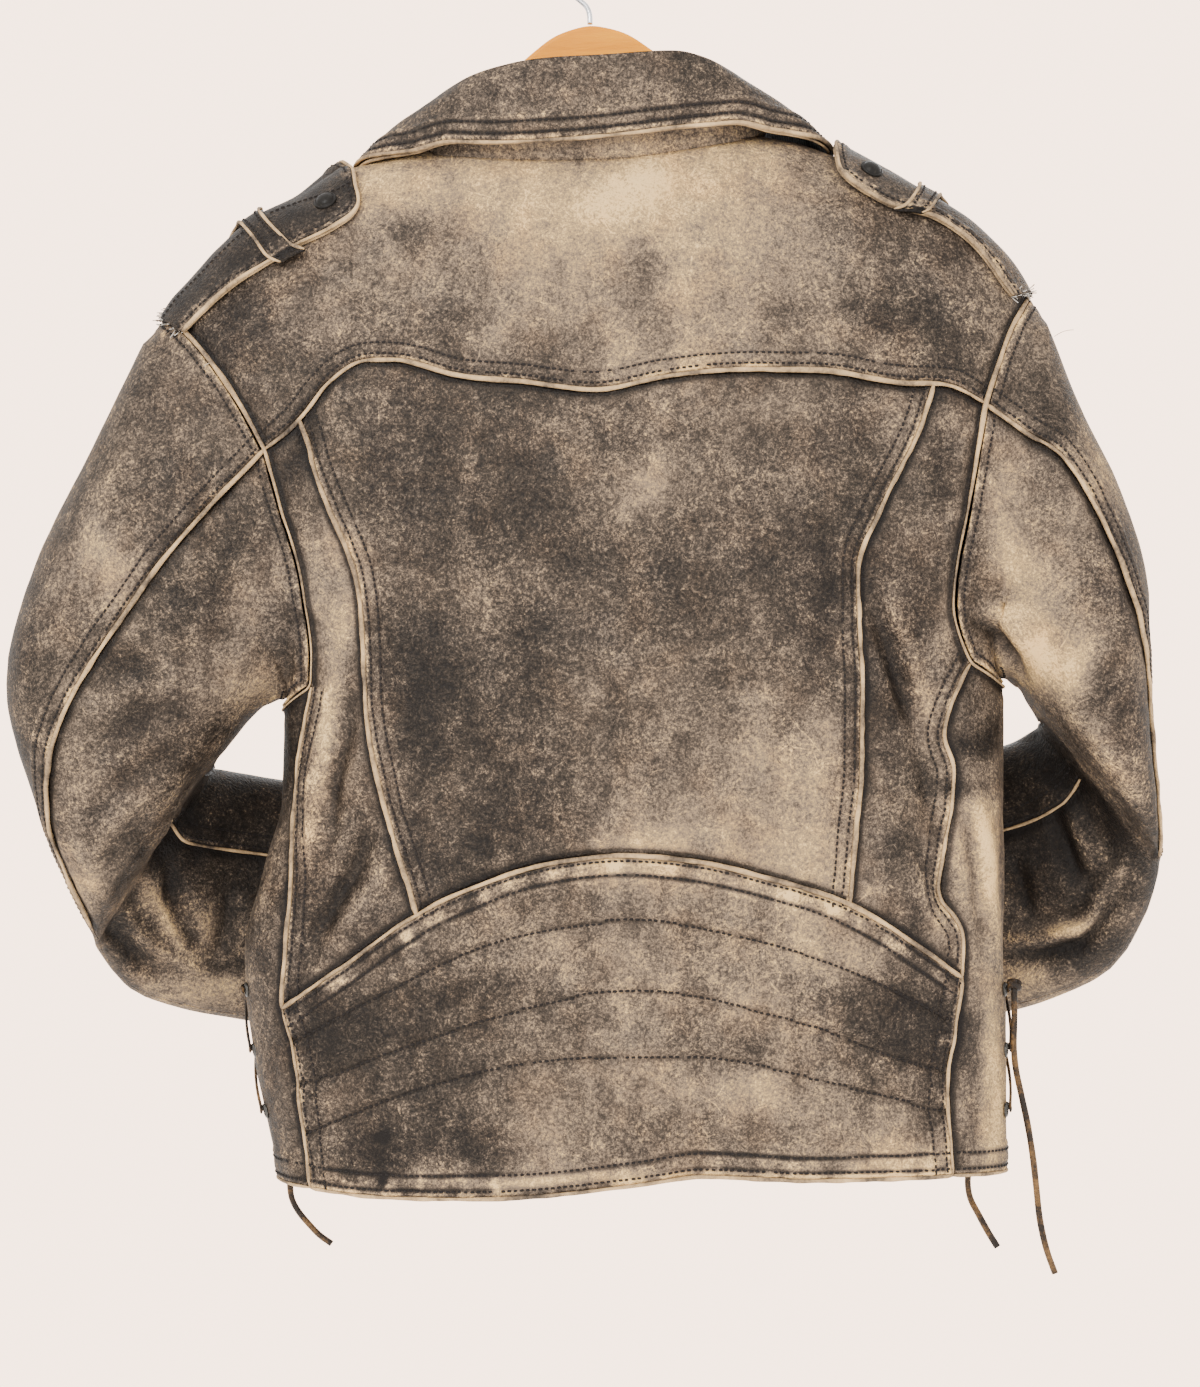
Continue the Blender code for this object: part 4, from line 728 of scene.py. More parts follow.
class Sleeve:
    """A sleeve as one smooth tube: along it from the armhole, 0, to the cuff, 1, and round it by column."""

    STATIONS = 60

    def __init__(self, rows, loop):
        self.count = len(loop) / FINER
        self.back = YOKE_ROWS
        self.front = self.count - FRONT_ARMHOLE_ROWS // 2
        values = np.array(rows, float)
        values[:, :6] *= MM
        middles = (values[:, [0, 4, 1]] + values[:, [2, 4, 3]]) / 2
        places = distances(middles)
        self.columns = np.arange(len(loop)) / FINER
        rings = [self.section(v) for v in smooth(np.linspace(0, places[-1], self.STATIONS), places, values)]
        armhole = torso(loop[:, 0], loop[:, 1])
        first = np.linalg.norm(rings[0] - armhole, axis=1).mean()
        self.places = np.concatenate([[0], first + np.linspace(0, places[-1], self.STATIONS)])
        self.length = self.places[-1]
        self.places /= self.length
        self.rings = np.array([armhole, *rings])

    def section(self, values):
        """One ring of the sleeve, from a row of the sleeve table."""
        outer, inner = values[[0, 4, 1]], values[[2, 4, 3]]
        back, front = math.radians(values[6]), math.radians(FRONT_SEAM_ANGLE)
        stops = [0, self.back, self.front, self.count]
        angles = np.interp(self.columns, stops, [0, back, front, 2 * math.pi])
        cosine = signed_power(np.cos(angles), 2 / SLEEVE_ROUNDNESS)[:, None]
        sine = signed_power(np.sin(angles), 2 / SLEEVE_ROUNDNESS)[:, None]
        return (outer + inner) / 2 + cosine * (outer - inner) / 2 + sine * np.array([0, -values[5], 0])

    def at(self, place, column):
        """Points of the sleeve's inner surface, for places along it and columns round it."""
        place, column = np.broadcast_arrays(place, column)
        rings = smooth(place, self.places, np.arange(len(self.places), dtype=float))
        i = np.clip(rings.astype(int), 0, len(self.places) - 2)
        t = (rings - i)[..., None]
        spot = (column % self.count) * FINER
        j = np.floor(spot).astype(int) % len(self.columns)
        k = (j + 1) % len(self.columns)
        s = (spot - np.floor(spot))[..., None]
        lower = self.rings[i, j] * (1 - s) + self.rings[i, k] * s
        upper = self.rings[i + 1, j] * (1 - s) + self.rings[i + 1, k] * s
        return lower * (1 - t) + upper * t

    def grid(self, first, last, spacing):
        """Points between two columns, from the armhole to the cuff."""
        across = np.linspace(first, last, 60)
        around = max(length_of(self.at(np.full(60, place), across)) for place in (0.05, 0.3, 0.9))
        places = np.linspace(0.004, 1, round(self.length / spacing) + 1)
        columns = np.linspace(first, last, round(around / spacing) + 1)
        return self.at(places[:, None], columns[None])


def drawn_in(grid):
    """The grid with its edges drawn in, so that a neighbour's edge stays clear of it."""
    grid = grid.copy()
    for axis in (0, 1):
        ends = np.moveaxis(grid, axis, 0)
        for edge, inner in ((0, 1), (-1, -2)):
            ends[edge] += SEAM_GAP / 2 * MM * unit(ends[inner] - ends[edge])
    return grid


def clear_of_torso(points, gap):
    """Points moved level outwards wherever they are closer to the torso than a gap in metres."""
    moved = points.copy()
    centre, half, back, front = ring(points[..., 2])
    depth = np.where(points[..., 1] < 0, back, front) + gap
    reach = np.abs((points[..., 0] - centre) / (half + gap)) ** ROUNDNESS
    reach = reach + np.abs(points[..., 1] / depth) ** ROUNDNESS
    grow = np.where(reach < 1, np.maximum(reach, 0.05) ** (-1 / ROUNDNESS), 1)
    moved[..., 0] = centre + (points[..., 0] - centre) * grow
    moved[..., 1] = points[..., 1] * grow
    return moved


def behind_torso(points, gap):
    """How far forward each point lies once it is moved straight back to a gap behind the torso."""
    centre, half, back, _ = ring(points[..., 2])
    beside = np.abs((points[..., 0] - centre) / (half + gap)) ** ROUNDNESS
    return np.minimum(points[..., 1], -(back + gap) * np.clip(1 - beside, 0, 1) ** (1 / ROUNDNESS))


def centre_front(height, across=0.0):
    """Angle of a point some millimetres to the right of the centre front line."""
    _, half, _, _ = ring(height)
    return math.pi - np.sign(across) * np.arcsin((abs(across) * MM / half) ** (ROUNDNESS / 2))


# ------------------------------------------------------------ leather surface
HASH = np.array([73856093, 19349663, 83492791])


def noise(points, size, seed):
    """Smooth noise from -1 to 1 at points in metres, with features of about a size in metres."""
    places = points / size
    base = np.floor(places).astype(np.int64)
    f = places - base
    f = f * f * (3 - 2 * f)
    total = 0
    for corner in range(8):
        step = np.array([corner & 1, corner >> 1 & 1, corner >> 2 & 1])
        key = (base + step) @ HASH + seed * 7919
        key = ((key ^ (key >> 13)) * 1274126177) & 0x7FFFFFFF
        value = ((key ^ (key >> 15)) & 0xFFFF) / 32767.5 - 1
        total = total + value * np.prod(np.where(step, f, 1 - f), axis=-1)
    return total


def ramp(value, low, high):
    """0 at low and below, 1 at high and above, and smooth between them."""
    t = np.clip((value - low) / (high - low), 0, 1)
    return t * t * (3 - 2 * t)


def unit(vectors):
    return vectors / np.maximum(np.linalg.norm(vectors, axis=-1, keepdims=True), 1e-12)


def outward(points):
    """Unit normals of a grid of points, on the side that faces its columns across its rows."""
    return unit(np.cross(np.gradient(points, axis=1), np.gradient(points, axis=0)))


def faced(points, centre):
    """The grid, with its columns turned round if its normals point towards the centre or centres."""
    return points if np.sum(outward(points) * (points - centre)) > 0 else points[:, ::-1]


def raised(angle, height, out):
    """Points a distance in metres straight out from the torso's inner surface."""
    step = 1e-4
    across = torso(angle + step, height) - torso(angle - step, height)
    up = torso(angle, height + step) - torso(angle, height - step)
    return torso(angle, height) + np.asarray(out)[..., None] * unit(np.cross(across, up))


class Seam:
    """A line on the jacket: its rows of stitches, its rolled welt if any, and how the leather lies by it.

    Sizes are in millimetres. A lap is the width of leather that is folded double on the stitched side. A
    swell says how the welt's thickness changes along the line. Under is how far out and how far down a
    second rolled edge lies below the first, where a piece is made of two layers. No crease crosses a held
    seam. Until is the share of the line that is worked.
    """

    def __init__(
        self, name, line, normal, towards, rows=(4.4, 10.2), lap=12.5, welt=1.7, pucker=0.45, dip=1.0,
        stain=0.5, swell=EVEN, under=None, held=False, scuff=0.0, worn=0.0, until=1.0,
    ):
        self.name, self.rows, self.lap, self.welt = name, rows, lap, welt
        # How dark the rows of stitches are painted: stain of the needle holes, with painted shade in their
        # grooves.
        self.pucker, self.dip, self.stain, self.swell, self.under = pucker, dip, stain, swell, under
        self.held, self.scuff, self.worn = held, scuff, worn
        self.line, self.normal = line, unit(normal)
        self.way = unit(np.gradient(line, axis=0))
        self.side = unit(np.cross(self.normal, self.way))
        self.side = self.side * np.sign(np.sum(self.side * towards))
        self.place = distances(line)
        self.worked = int(len(line) * until)
        self.stop = self.place[self.worked - 1] if until < 1 else self.place[-1] + 1

    def row(self, offset):
        """The line moved sideways by millimetres, before it is laid on the leather."""
        return (self.line + self.side * offset * MM)[: self.worked]


def torso_seam(name, line, towards, **looks):
    """A seam given as rows of angle and height."""
    inner, outer = raised(line[:, 0], line[:, 1], 0.0), raised(line[:, 0], line[:, 1], WALL * MM)
    return Seam(name, outer, outer - inner, np.array(towards, float), **looks)


def sleeve_seam(name, sleeve, column, towards_higher, start=0.0, end=1.0, **looks):
    """A seam along a sleeve at one column, stitched on the side of the higher or the lower columns."""
    places, columns = np.linspace(start, end, 300), np.full(300, float(column))
    line = sleeve.at(places, columns)
    across = sleeve.at(places, columns + 0.2) - sleeve.at(places, columns - 0.2)
    middle = sleeve.at(places[:, None], np.linspace(0, sleeve.count, 40, endpoint=False)[None]).mean(axis=1)
    normal = unit(np.cross(across, np.gradient(line, axis=0)))
    normal = normal * np.sign(np.sum(normal * (line - middle), axis=1, keepdims=True))
    towards = across if towards_higher else -across
    return Seam(name, line + normal * WALL * MM, normal, towards, **looks)


class Leather:
    """Everything that bends the panels: creases, seams and the soft unevenness of worn hide."""

    REACH = 17 * MM

    def __init__(self, seams):
        self.seams = seams
        self.tree = KDTree(sum(len(s.line) for s in seams))
        self.keys = []
        for k, one in enumerate(seams):
            for i, point in enumerate(one.line):
                self.tree.insert(point, len(self.keys))
                self.keys.append((k, i))
        self.tree.balance()

    def near_seam(self, points):
        """For each point its nearest seam, that seam's sample, and the distance to its stitched side."""
        flat = points.reshape(-1, 3)
        found = np.array([self.tree.find(p)[1] for p in flat.tolist()])
        keys = np.array(self.keys)[found]
        lines = [s.line for s in self.seams]
        starts = np.concatenate([[0], np.cumsum([len(line) for line in lines])])[:-1]
        index = starts[keys[:, 0]] + keys[:, 1]
        gap = flat - np.concatenate(lines)[index]
        signed = np.sum(gap * np.concatenate([s.side for s in self.seams])[index], axis=1)
        away = np.linalg.norm(gap, axis=1)
        shape = points.shape[:-1]
        place = np.concatenate([s.place for s in self.seams])[index]
        return keys[:, 0].reshape(shape), place.reshape(shape), signed.reshape(shape), away.reshape(shape)

    def relief(self, points):
        """Height in metres that the seams add, how rubbed each point is, and how much darker it is by stain
        and painted shade beside the welts and along the rows, 0 to 1.
        """
        which, place, signed, away = self.near_seam(points)
        rise, rub, dirt = np.zeros(which.shape), np.zeros(which.shape), np.zeros(which.shape)
        free = np.ones(which.shape)
        side = np.where(signed < 0, -1, 1) * away / MM
        for k, one in enumerate(self.seams):
            mine = (which == k) & (away < self.REACH * 1.6)
            d = side[mine]
            at = np.stack([place[mine] / MM / 9 + 31 * k, 0 * d, 0 * d], axis=-1)
            ripple = noise(at, 1.0, 5) + 0.5 * noise(at, 0.45, 6)
            height = one.pucker * ripple * np.exp(-(((np.abs(d) - 6) / 7) ** 2))
            height = height - one.dip * np.exp(-((d / 2.4) ** 2))
            edge = 0 * d
            if one.lap:
                height = height + 1.1 * ramp(d, -0.4, 2.2) * (1 - ramp(d, one.lap, one.lap + 4))
                height = height - 0.9 * np.exp(-(((d + 3.4) / 3.4) ** 2))
                edge = 0.45 * np.exp(-(((d - one.lap - 0.8) / 2.2) ** 2))
                edge = edge + 0.9 * np.exp(-(((d - 2.2) / 2) ** 2))
                # Painted shadow of the welt: a dark line beside it on the unstitched side, and softer shade
                # further out.
                dirt[mine] = np.exp(-(((d + 2.0) / 1.9) ** 2)) + 0.3 * np.exp(-(((d + 5) / 5) ** 2))
            for row in one.rows:
                height = height - 0.55 * np.exp(-(((d - row) / 1.7) ** 2))
                # Along each row of stitches: stain of the needle holes, with painted shade in the row's
                # groove.
                dirt[mine] = np.maximum(dirt[mine], one.stain * np.exp(-(((d - row) / 1.7) ** 2)))
                scuffed = one.scuff * np.clip(0.6 + 1.6 * noise(at, 0.16, 7), 0, 1.6)
                edge = edge + scuffed * np.exp(-(((d - row) / 2.0) ** 2))
            if one.worn:
                middle = ramp(d, 1.0, 3.0) * (1 - ramp(d, one.lap - 3, one.lap))
                patchy = np.clip(0.75 + 0.55 * noise(points[mine], 0.007, 8), 0.2, 1.3)
                edge = edge + one.worn * middle * patchy
            going = ramp(place[mine], one.stop + 12 * MM, one.stop)
            rise[mine] = height * going * MM
            rub[mine] = edge * going * (0.8 + 0.35 * ripple)
            dirt[mine] *= 0.35 + 0.65 * going
            if one.held:
                free[mine] = ramp(np.abs(d), 1.0, 6.0)
        return rise, rub, dirt, free

    def creases(self, points, normals, group):
        """Depth in metres of the listed creases on the back and the front of a group of panels."""
        warp = np.stack([noise(points, 0.03, 21), noise(points, 0.03, 22)], axis=-1) * 3 * MM
        flat = points[..., [0, 2]] + warp
        rise = np.zeros(points.shape[:-1])
        for side, way in (("back", -1), ("front", 1)):
            facing = ramp(normals[..., 1] * way, 0.0, 0.45)
            if not facing.any():
                continue
            for depth, width, *line in CREASES.get(f"{group}_{side}", ()):
                away, place = near_line(flat, np.array(line) * MM)
                away = away / (width * MM)
                taper = np.sin(math.pi * np.clip(place, 0.02, 0.98)) ** 0.7
                form = np.exp(-(away**2)) - 0.3 * np.exp(-((away / 2.4) ** 2))
                rise += facing * taper * depth * MM * form
        return rise

    def laid(self, points, group, wall=WALL):
        """The grid's points on the outer face of the worn leather, its rub, its darkening by dirt and
        painted shade, and the relief that the material paints as shade and light.
        """
        normals = outward(points)
        points = points + normals * wall * MM
        rise, rub, dirt, free = self.relief(points)
        folds = self.creases(points, normals, group) * free
        soft = 1.1 * noise(points, 0.075, 1) + 0.55 * noise(points, 0.03, 2) + 0.22 * noise(points, 0.012, 3)
        if group == "body":
            drawn = 0.5 * noise(points * np.array([1, 1, 0.3]), 0.006, 9)
            soft = soft + drawn * ramp(points[..., 2], -0.6, -0.64)
        points = points + normals * (rise + folds + soft * MM)[..., None]
        # The relief's height, which the material paints as shade in the troughs and as light on the ridges.
        return points, rub, dirt, (folds + 0.5 * rise + 0.4 * soft * MM) / MM


def tone(points, group):
    """How much lighter or darker than the rest each point is."""
    warp = np.stack([noise(points, 0.05, 71), noise(points, 0.05, 72)], axis=-1) * 14 * MM
    flat = (points[..., [0, 2]] + warp) / MM
    streaky = points * np.array([1, 1, 0.22])
    low = ramp(points[..., 2], -0.3, -0.62)
    total = (0.05 + 0.04 * low) * noise(streaky, 0.007, 75) + 0.04 * noise(streaky, 0.018, 76)
    total = total + 0.11 * noise(points, 0.03, 77)
    forward = points[..., 1] / MM
    here = ramp(forward, 20, -10) if group == "body" else 1 - ramp(forward, FOREARM - 6, FOREARM + 6)
    for name, share in ((group, here), (f"{group}_forearm", 1 - here)):
        for x, height, wide, high, amount in PATCHES.get(name, ()):
            away = np.hypot((flat[..., 0] - x) / wide, (flat[..., 1] - height) / high)
            total = total + 1.18 * amount * np.exp(-(away**2)) * share
    return total


# ------------------------------------------------------------ meshes
def place(obj, slot):
    """Puts a piece into the scene, on the jacket's body. Its slot is not used."""
    bpy.context.scene.collection.objects.link(obj)
    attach(obj, JACKET)
    return obj


def solid(name, vertices, faces, finish, slot):
    """A mesh piece from lists of points and faces."""
    mesh = bpy.data.meshes.new(name)
    faces = faces if isinstance(faces, list) else faces.tolist()
    mesh.from_pydata(np.asarray(vertices).tolist(), [], faces)
    mesh.polygons.foreach_set("use_smooth", np.full(len(mesh.polygons), True))
    mesh.materials.append(finish)
    return place(bpy.data.objects.new(name, mesh), slot)


def grid_faces(rows, columns, loop=False):
    """Quads of a grid whose points are numbered row by row. A loop joins the last column to the first."""
    i, j = np.meshgrid(np.arange(rows - 1), np.arange(columns if loop else columns - 1), indexing="ij")
    k = (j + 1) % columns
    row, after = i * columns, (i + 1) * columns
    return np.stack([row + j, row + k, after + k, after + j], axis=-1).reshape(-1, 4)


def paint(mesh, name, values):
    """A number for each vertex, which the material reads by name."""
    layer = mesh.attributes.new(name, "FLOAT", "POINT")
    layer.data.foreach_set("value", np.asarray(values, np.float32).ravel())


SURFACES = []  # points and quads of every laid panel, for what is sewn on to it


def shell(name, points, rub, dirt, hollow, group, finish, slot, wall=WALL):
    """A panel of leather whose outer face is the grid, with its wall on the inside."""
    rows, columns = points.shape[:2]
    quads = grid_faces(rows, columns)
    obj = solid(name, points.reshape(-1, 3), quads, finish, slot)
    paint(obj.data, "rub", rub)
    paint(obj.data, "dirt", dirt)
    paint(obj.data, "hollow", hollow)
    paint(obj.data, "tone", tone(points, group))
    wall_of = obj.modifiers.new("wall", "SOLIDIFY")
    wall_of.thickness = wall * MM
    wall_of.offset = -1
    wall_of.material_offset = 1
    obj.data.materials.append(bpy.data.materials["lining"])
    SURFACES.append((points.reshape(-1, 3), quads))
    return obj


class Ground:
    """The outer faces of the panels laid so far, for pieces that lie on them."""

    def __init__(self):
        start, points, quads = 0, [], []
        for some, faces in SURFACES:
            points.append(some)
            quads.append(faces + start)
            start += len(some)
        self.tree = BVHTree.FromPolygons(np.concatenate(points).tolist(), np.concatenate(quads).tolist())

    def under(self, points):
        """Nearest points on the panels, the normals there, and how far off they were."""
        found = [self.tree.find_nearest(p) for p in np.asarray(points).tolist()]
        spots, normals, _, away = zip(*found)
        return np.array(spots), np.array(normals), np.array(away)


def softened(line, times=2):
    """The line with its small kinks taken out and its ends kept."""
    for _ in range(times):
        line = np.concatenate([line[:1], (line[:-2] + 2 * line[1:-1] + line[2:]) / 4, line[-1:]])
    return line


def spaced(line, step):
    """Points an even step apart along a line, and the ends."""
    place = distances(line)
    return sampled(line, place, np.linspace(0, place[-1], max(2, round(place[-1] / step) + 1)))


def swept(line, up, wide, high, sides=8):
    """Points and quads of a closed tube along a line, with a half width and half height at each point."""
    way = unit(np.gradient(line, axis=0))
    side = unit(np.cross(up, way))
    up = np.cross(way, side)
    turns = np.linspace(0, 2 * math.pi, sides, endpoint=False)
    wide, high = (np.broadcast_to(x, len(line))[:, None, None] for x in (wide, high))
    rings = line[:, None] + side[:, None] * np.cos(turns)[None, :, None] * wide
    rings = rings + up[:, None] * np.sin(turns)[None, :, None] * high
    count = len(line)
    points = np.concatenate([rings.reshape(-1, 3), line[:1], line[-1:]])
    quads = grid_faces(count, sides, loop=True)
    j = np.arange(sides)
    k = (j + 1) % sides
    last = (count - 1) * sides
    start_cap = np.stack([k, j, np.full(sides, count * sides)], axis=-1)
    end_cap = np.stack([j + last, k + last, np.full(sides, count * sides + 1)], axis=-1)
    return points, quads, np.concatenate([start_cap, end_cap])


def turned(name, profile, seat, axis, finish, slot, steps=40):
    """A profile of (radius, height) in millimetres turned round an axis that stands on a seat."""
    turn = Vector(axis).to_track_quat("Z", "Y").to_matrix()
    angles = np.linspace(0, 2 * math.pi, steps, endpoint=False)
    radius, height = np.array(profile).T[:, :, None]
    rings = np.stack([radius * np.cos(angles), radius * np.sin(angles), height + 0 * angles], axis=-1) * MM
    points = rings.reshape(-1, 3) @ np.array(turn).T + np.array(seat)
    obj = solid(name, points, grid_faces(len(profile), steps, loop=True), finish, slot)
    merge = obj.modifiers.new("merge", "WELD")
    merge.merge_threshold = 1e-6
    return obj


class Bundle:
    """Many small closed shapes kept as one piece."""

    def __init__(self):
        self.points, self.faces, self.start = [], [], 0

    def add(self, points, *groups):
        for faces in groups:
            self.faces += (np.asarray(faces) + self.start).tolist()
        self.points.append(points)
        self.start += len(points)

    def made(self, name, finish, slot):
        return solid(name, np.concatenate(self.points), self.faces, finish, slot)


def welt(bundle, line, normals, radius, rise, seed=0, swell=EVEN):
    """A rolled edge along a line, a little uneven in thickness as worn piping is."""
    uneven = 1 + 0.3 * noise(line, 0.045, 39 + seed) + 0.2 * noise(line, 0.011, 40 + seed)
    uneven = uneven + 0.12 * noise(line, 0.005, 41 + seed)
    uneven = uneven * np.interp(np.linspace(0, 1, len(line)), *zip(*swell))
    ends = np.minimum(np.arange(len(line)), np.arange(len(line))[::-1])
    radius = radius * MM * uneven * np.clip(0.55 + ends * 0.25, 0, 1)
    bundle.add(*swept(line + normals * (radius * rise)[:, None], normals, radius, radius))


def laid_welt(bundle, ground, one, seed):
    """A seam's rolled edge, on the leather, and the second one below it if it has one."""
    line = spaced(one.line[: one.worked], 2.2 * MM)
    spots, normals, _ = ground.under(line)
    spots, normals = softened(spots, 4), unit(softened(normals, 6))
    welt(bundle, spots, normals, one.welt, 0.55, seed, one.swell)
    if one.under:
        out, down = one.under
        outwards = unit(softened(resampled(-one.side, len(spots) - 1), 6))
        spots = spots + (outwards * out - normals * down) * MM
        welt(bundle, spots, normals, one.welt * 0.85, 0.0, seed + 50, one.swell)


def stitches(bundle, ground, line, seed):
    """A row of stitches laid along a line, with a few gone and none where the leather is far off."""
    rng = np.random.default_rng(900 + seed)
    line = spaced(line, STITCH_PITCH * MM)
    spots, normals, away = ground.under(line)
    way = unit(np.gradient(softened(spots, 1), axis=0))
    side = unit(np.cross(normals, way))
    way = np.cross(side, normals)
    turns = np.linspace(0, 2 * math.pi, CAPSULE_SIDES, endpoint=False)
    quads = grid_faces(len(CAPSULE), CAPSULE_SIDES, loop=True)
    j = np.arange(CAPSULE_SIDES)
    ends = [j[::-1].tolist(), (j + (len(CAPSULE) - 1) * CAPSULE_SIDES).tolist()]
    for i, spot in enumerate(spots):
        size = rng.uniform(0.82, 1.08)
        turn = rng.normal(0, 0.07)
        if away[i] > STITCH_REACH * MM or rng.random() < STITCHES_GONE:
            continue
        long = way[i] * math.cos(turn) + side[i] * math.sin(turn)
        wide = np.cross(normals[i], long)
        rings = []
        for at, radius in CAPSULE:
            middle = spot + normals[i] * (0.6 * radius - STITCH_SINK) * THREAD_RADIUS * MM
            middle = middle + long * at * STITCH_LENGTH * size * MM
            circle = np.cos(turns)[:, None] * wide + np.sin(turns)[:, None] * normals[i]
            rings.append(middle + circle * radius * THREAD_RADIUS * MM)
        bundle.add(np.concatenate(rings), quads, ends)


# ------------------------------------------------------------ finishes
class Finish:
    """A material and short ways of adding its nodes."""

    def __init__(self, name, roughness=0.6, metallic=0.0):
        self.material = bpy.data.materials.new(name)
        self.material.use_nodes = True
        self.tree = self.material.node_tree
        self.shader = self.tree.nodes["Principled BSDF"]
        self.shader.inputs["Roughness"].default_value = roughness
        self.shader.inputs["Metallic"].default_value = metallic
        self.place = self.node("ShaderNodeTexCoord").outputs["Object"]

    def node(self, kind, inputs=None, **settings):
        made = self.tree.nodes.new(kind)
        for key, value in settings.items():
            setattr(made, key, value)
        for key, value in (inputs or {}).items():
            if isinstance(value, bpy.types.NodeSocket):
                self.tree.links.new(value, made.inputs[key])
            else:
                made.inputs[key].default_value = value
        return made

    def sum(self, a, b, operation="ADD"):
        return self.node("ShaderNodeMath", {0: a, 1: b}, operation=operation).outputs[0]

    def vector(self, operation, inputs):
        return self.node("ShaderNodeVectorMath", inputs, operation=operation).outputs[0]

    def times(self, a, b):
        return self.sum(a, b, "MULTIPLY")

    def noise(self, scale, detail=3.0, rough=0.6, place=None):
        inputs = {"Vector": place or self.place, "Scale": scale, "Detail": detail, "Roughness": rough}
        return self.node("ShaderNodeTexNoise", inputs).outputs["Fac"]

    def weave(self, scale, distortion):
        inputs = {"Vector": self.place, "Scale": scale, "Distortion": distortion}
        return self.node("ShaderNodeTexWave", inputs).outputs["Fac"]

    def cracks(self, scale, place=None):
        """Distance from the edges of small cells, as in crackled hide."""
        inputs = {"Vector": place or self.place, "Scale": scale}
        return self.node("ShaderNodeTexVoronoi", inputs, feature="DISTANCE_TO_EDGE").outputs["Distance"]

    def warped(self, scale, amount):
        """The place moved about by noise, so that a pattern on it isn't regular."""
        shift = self.node("ShaderNodeTexNoise", {"Vector": self.place, "Scale": scale, "Detail": 2.0})
        middle = self.vector("SUBTRACT", {0: shift.outputs["Color"], 1: (0.5, 0.5, 0.5)})
        scaled = self.vector("SCALE", {0: middle, "Scale": amount})
        return self.vector("ADD", {0: self.place, 1: scaled})

    def between(self, value, low, high, to_low=0.0, to_high=1.0):
        inputs = {"Value": value, "From Min": low, "From Max": high, "To Min": to_low, "To Max": to_high}
        return self.node("ShaderNodeMapRange", inputs, interpolation_type="SMOOTHSTEP").outputs["Result"]

    def mix(self, amount, a, b, blend="MIX"):
        made = self.node("ShaderNodeMix", data_type="RGBA", blend_type=blend)
        for socket, value in ((made.inputs[0], amount), (made.inputs[6], a), (made.inputs[7], b)):
            if isinstance(value, bpy.types.NodeSocket):
                self.tree.links.new(value, socket)
            elif isinstance(value, tuple):
                socket.default_value = (*value, 1)
            else:
                socket.default_value = value
        return made.outputs[2]

    def steps(self, value, stops):
        """Colours at places from 0 to 1."""
        made = self.node("ShaderNodeValToRGB", {"Fac": value})
        ramp_of = made.color_ramp
        while len(ramp_of.elements) < len(stops):
            ramp_of.elements.new(0.5)
        for element, (at, colour) in zip(ramp_of.elements, stops):
            element.position = at
            element.color = (*colour, 1)
        return made.outputs["Color"]

    def painted(self, name):
        return self.node("ShaderNodeAttribute", attribute_name=name).outputs["Fac"]

    def set(self, **sockets):
        for name, value in sockets.items():
            socket = self.shader.inputs[name.replace("_", " ")]
            if isinstance(value, bpy.types.NodeSocket):
                self.tree.links.new(value, socket)
            else:
                socket.default_value = (*value, 1) if isinstance(value, tuple) else value
        return self

    def bump(self, *layers):
        """Heights in metres from sockets, one on top of the other."""
        normal = None
        for height, distance in layers:
            inputs = {"Height": height, "Distance": distance, "Strength": 1.0}
            if normal is not None:
                inputs["Normal"] = normal
            normal = self.node("ShaderNodeBump", inputs).outputs["Normal"]
        self.tree.links.new(normal, self.shader.inputs["Normal"])
        return self


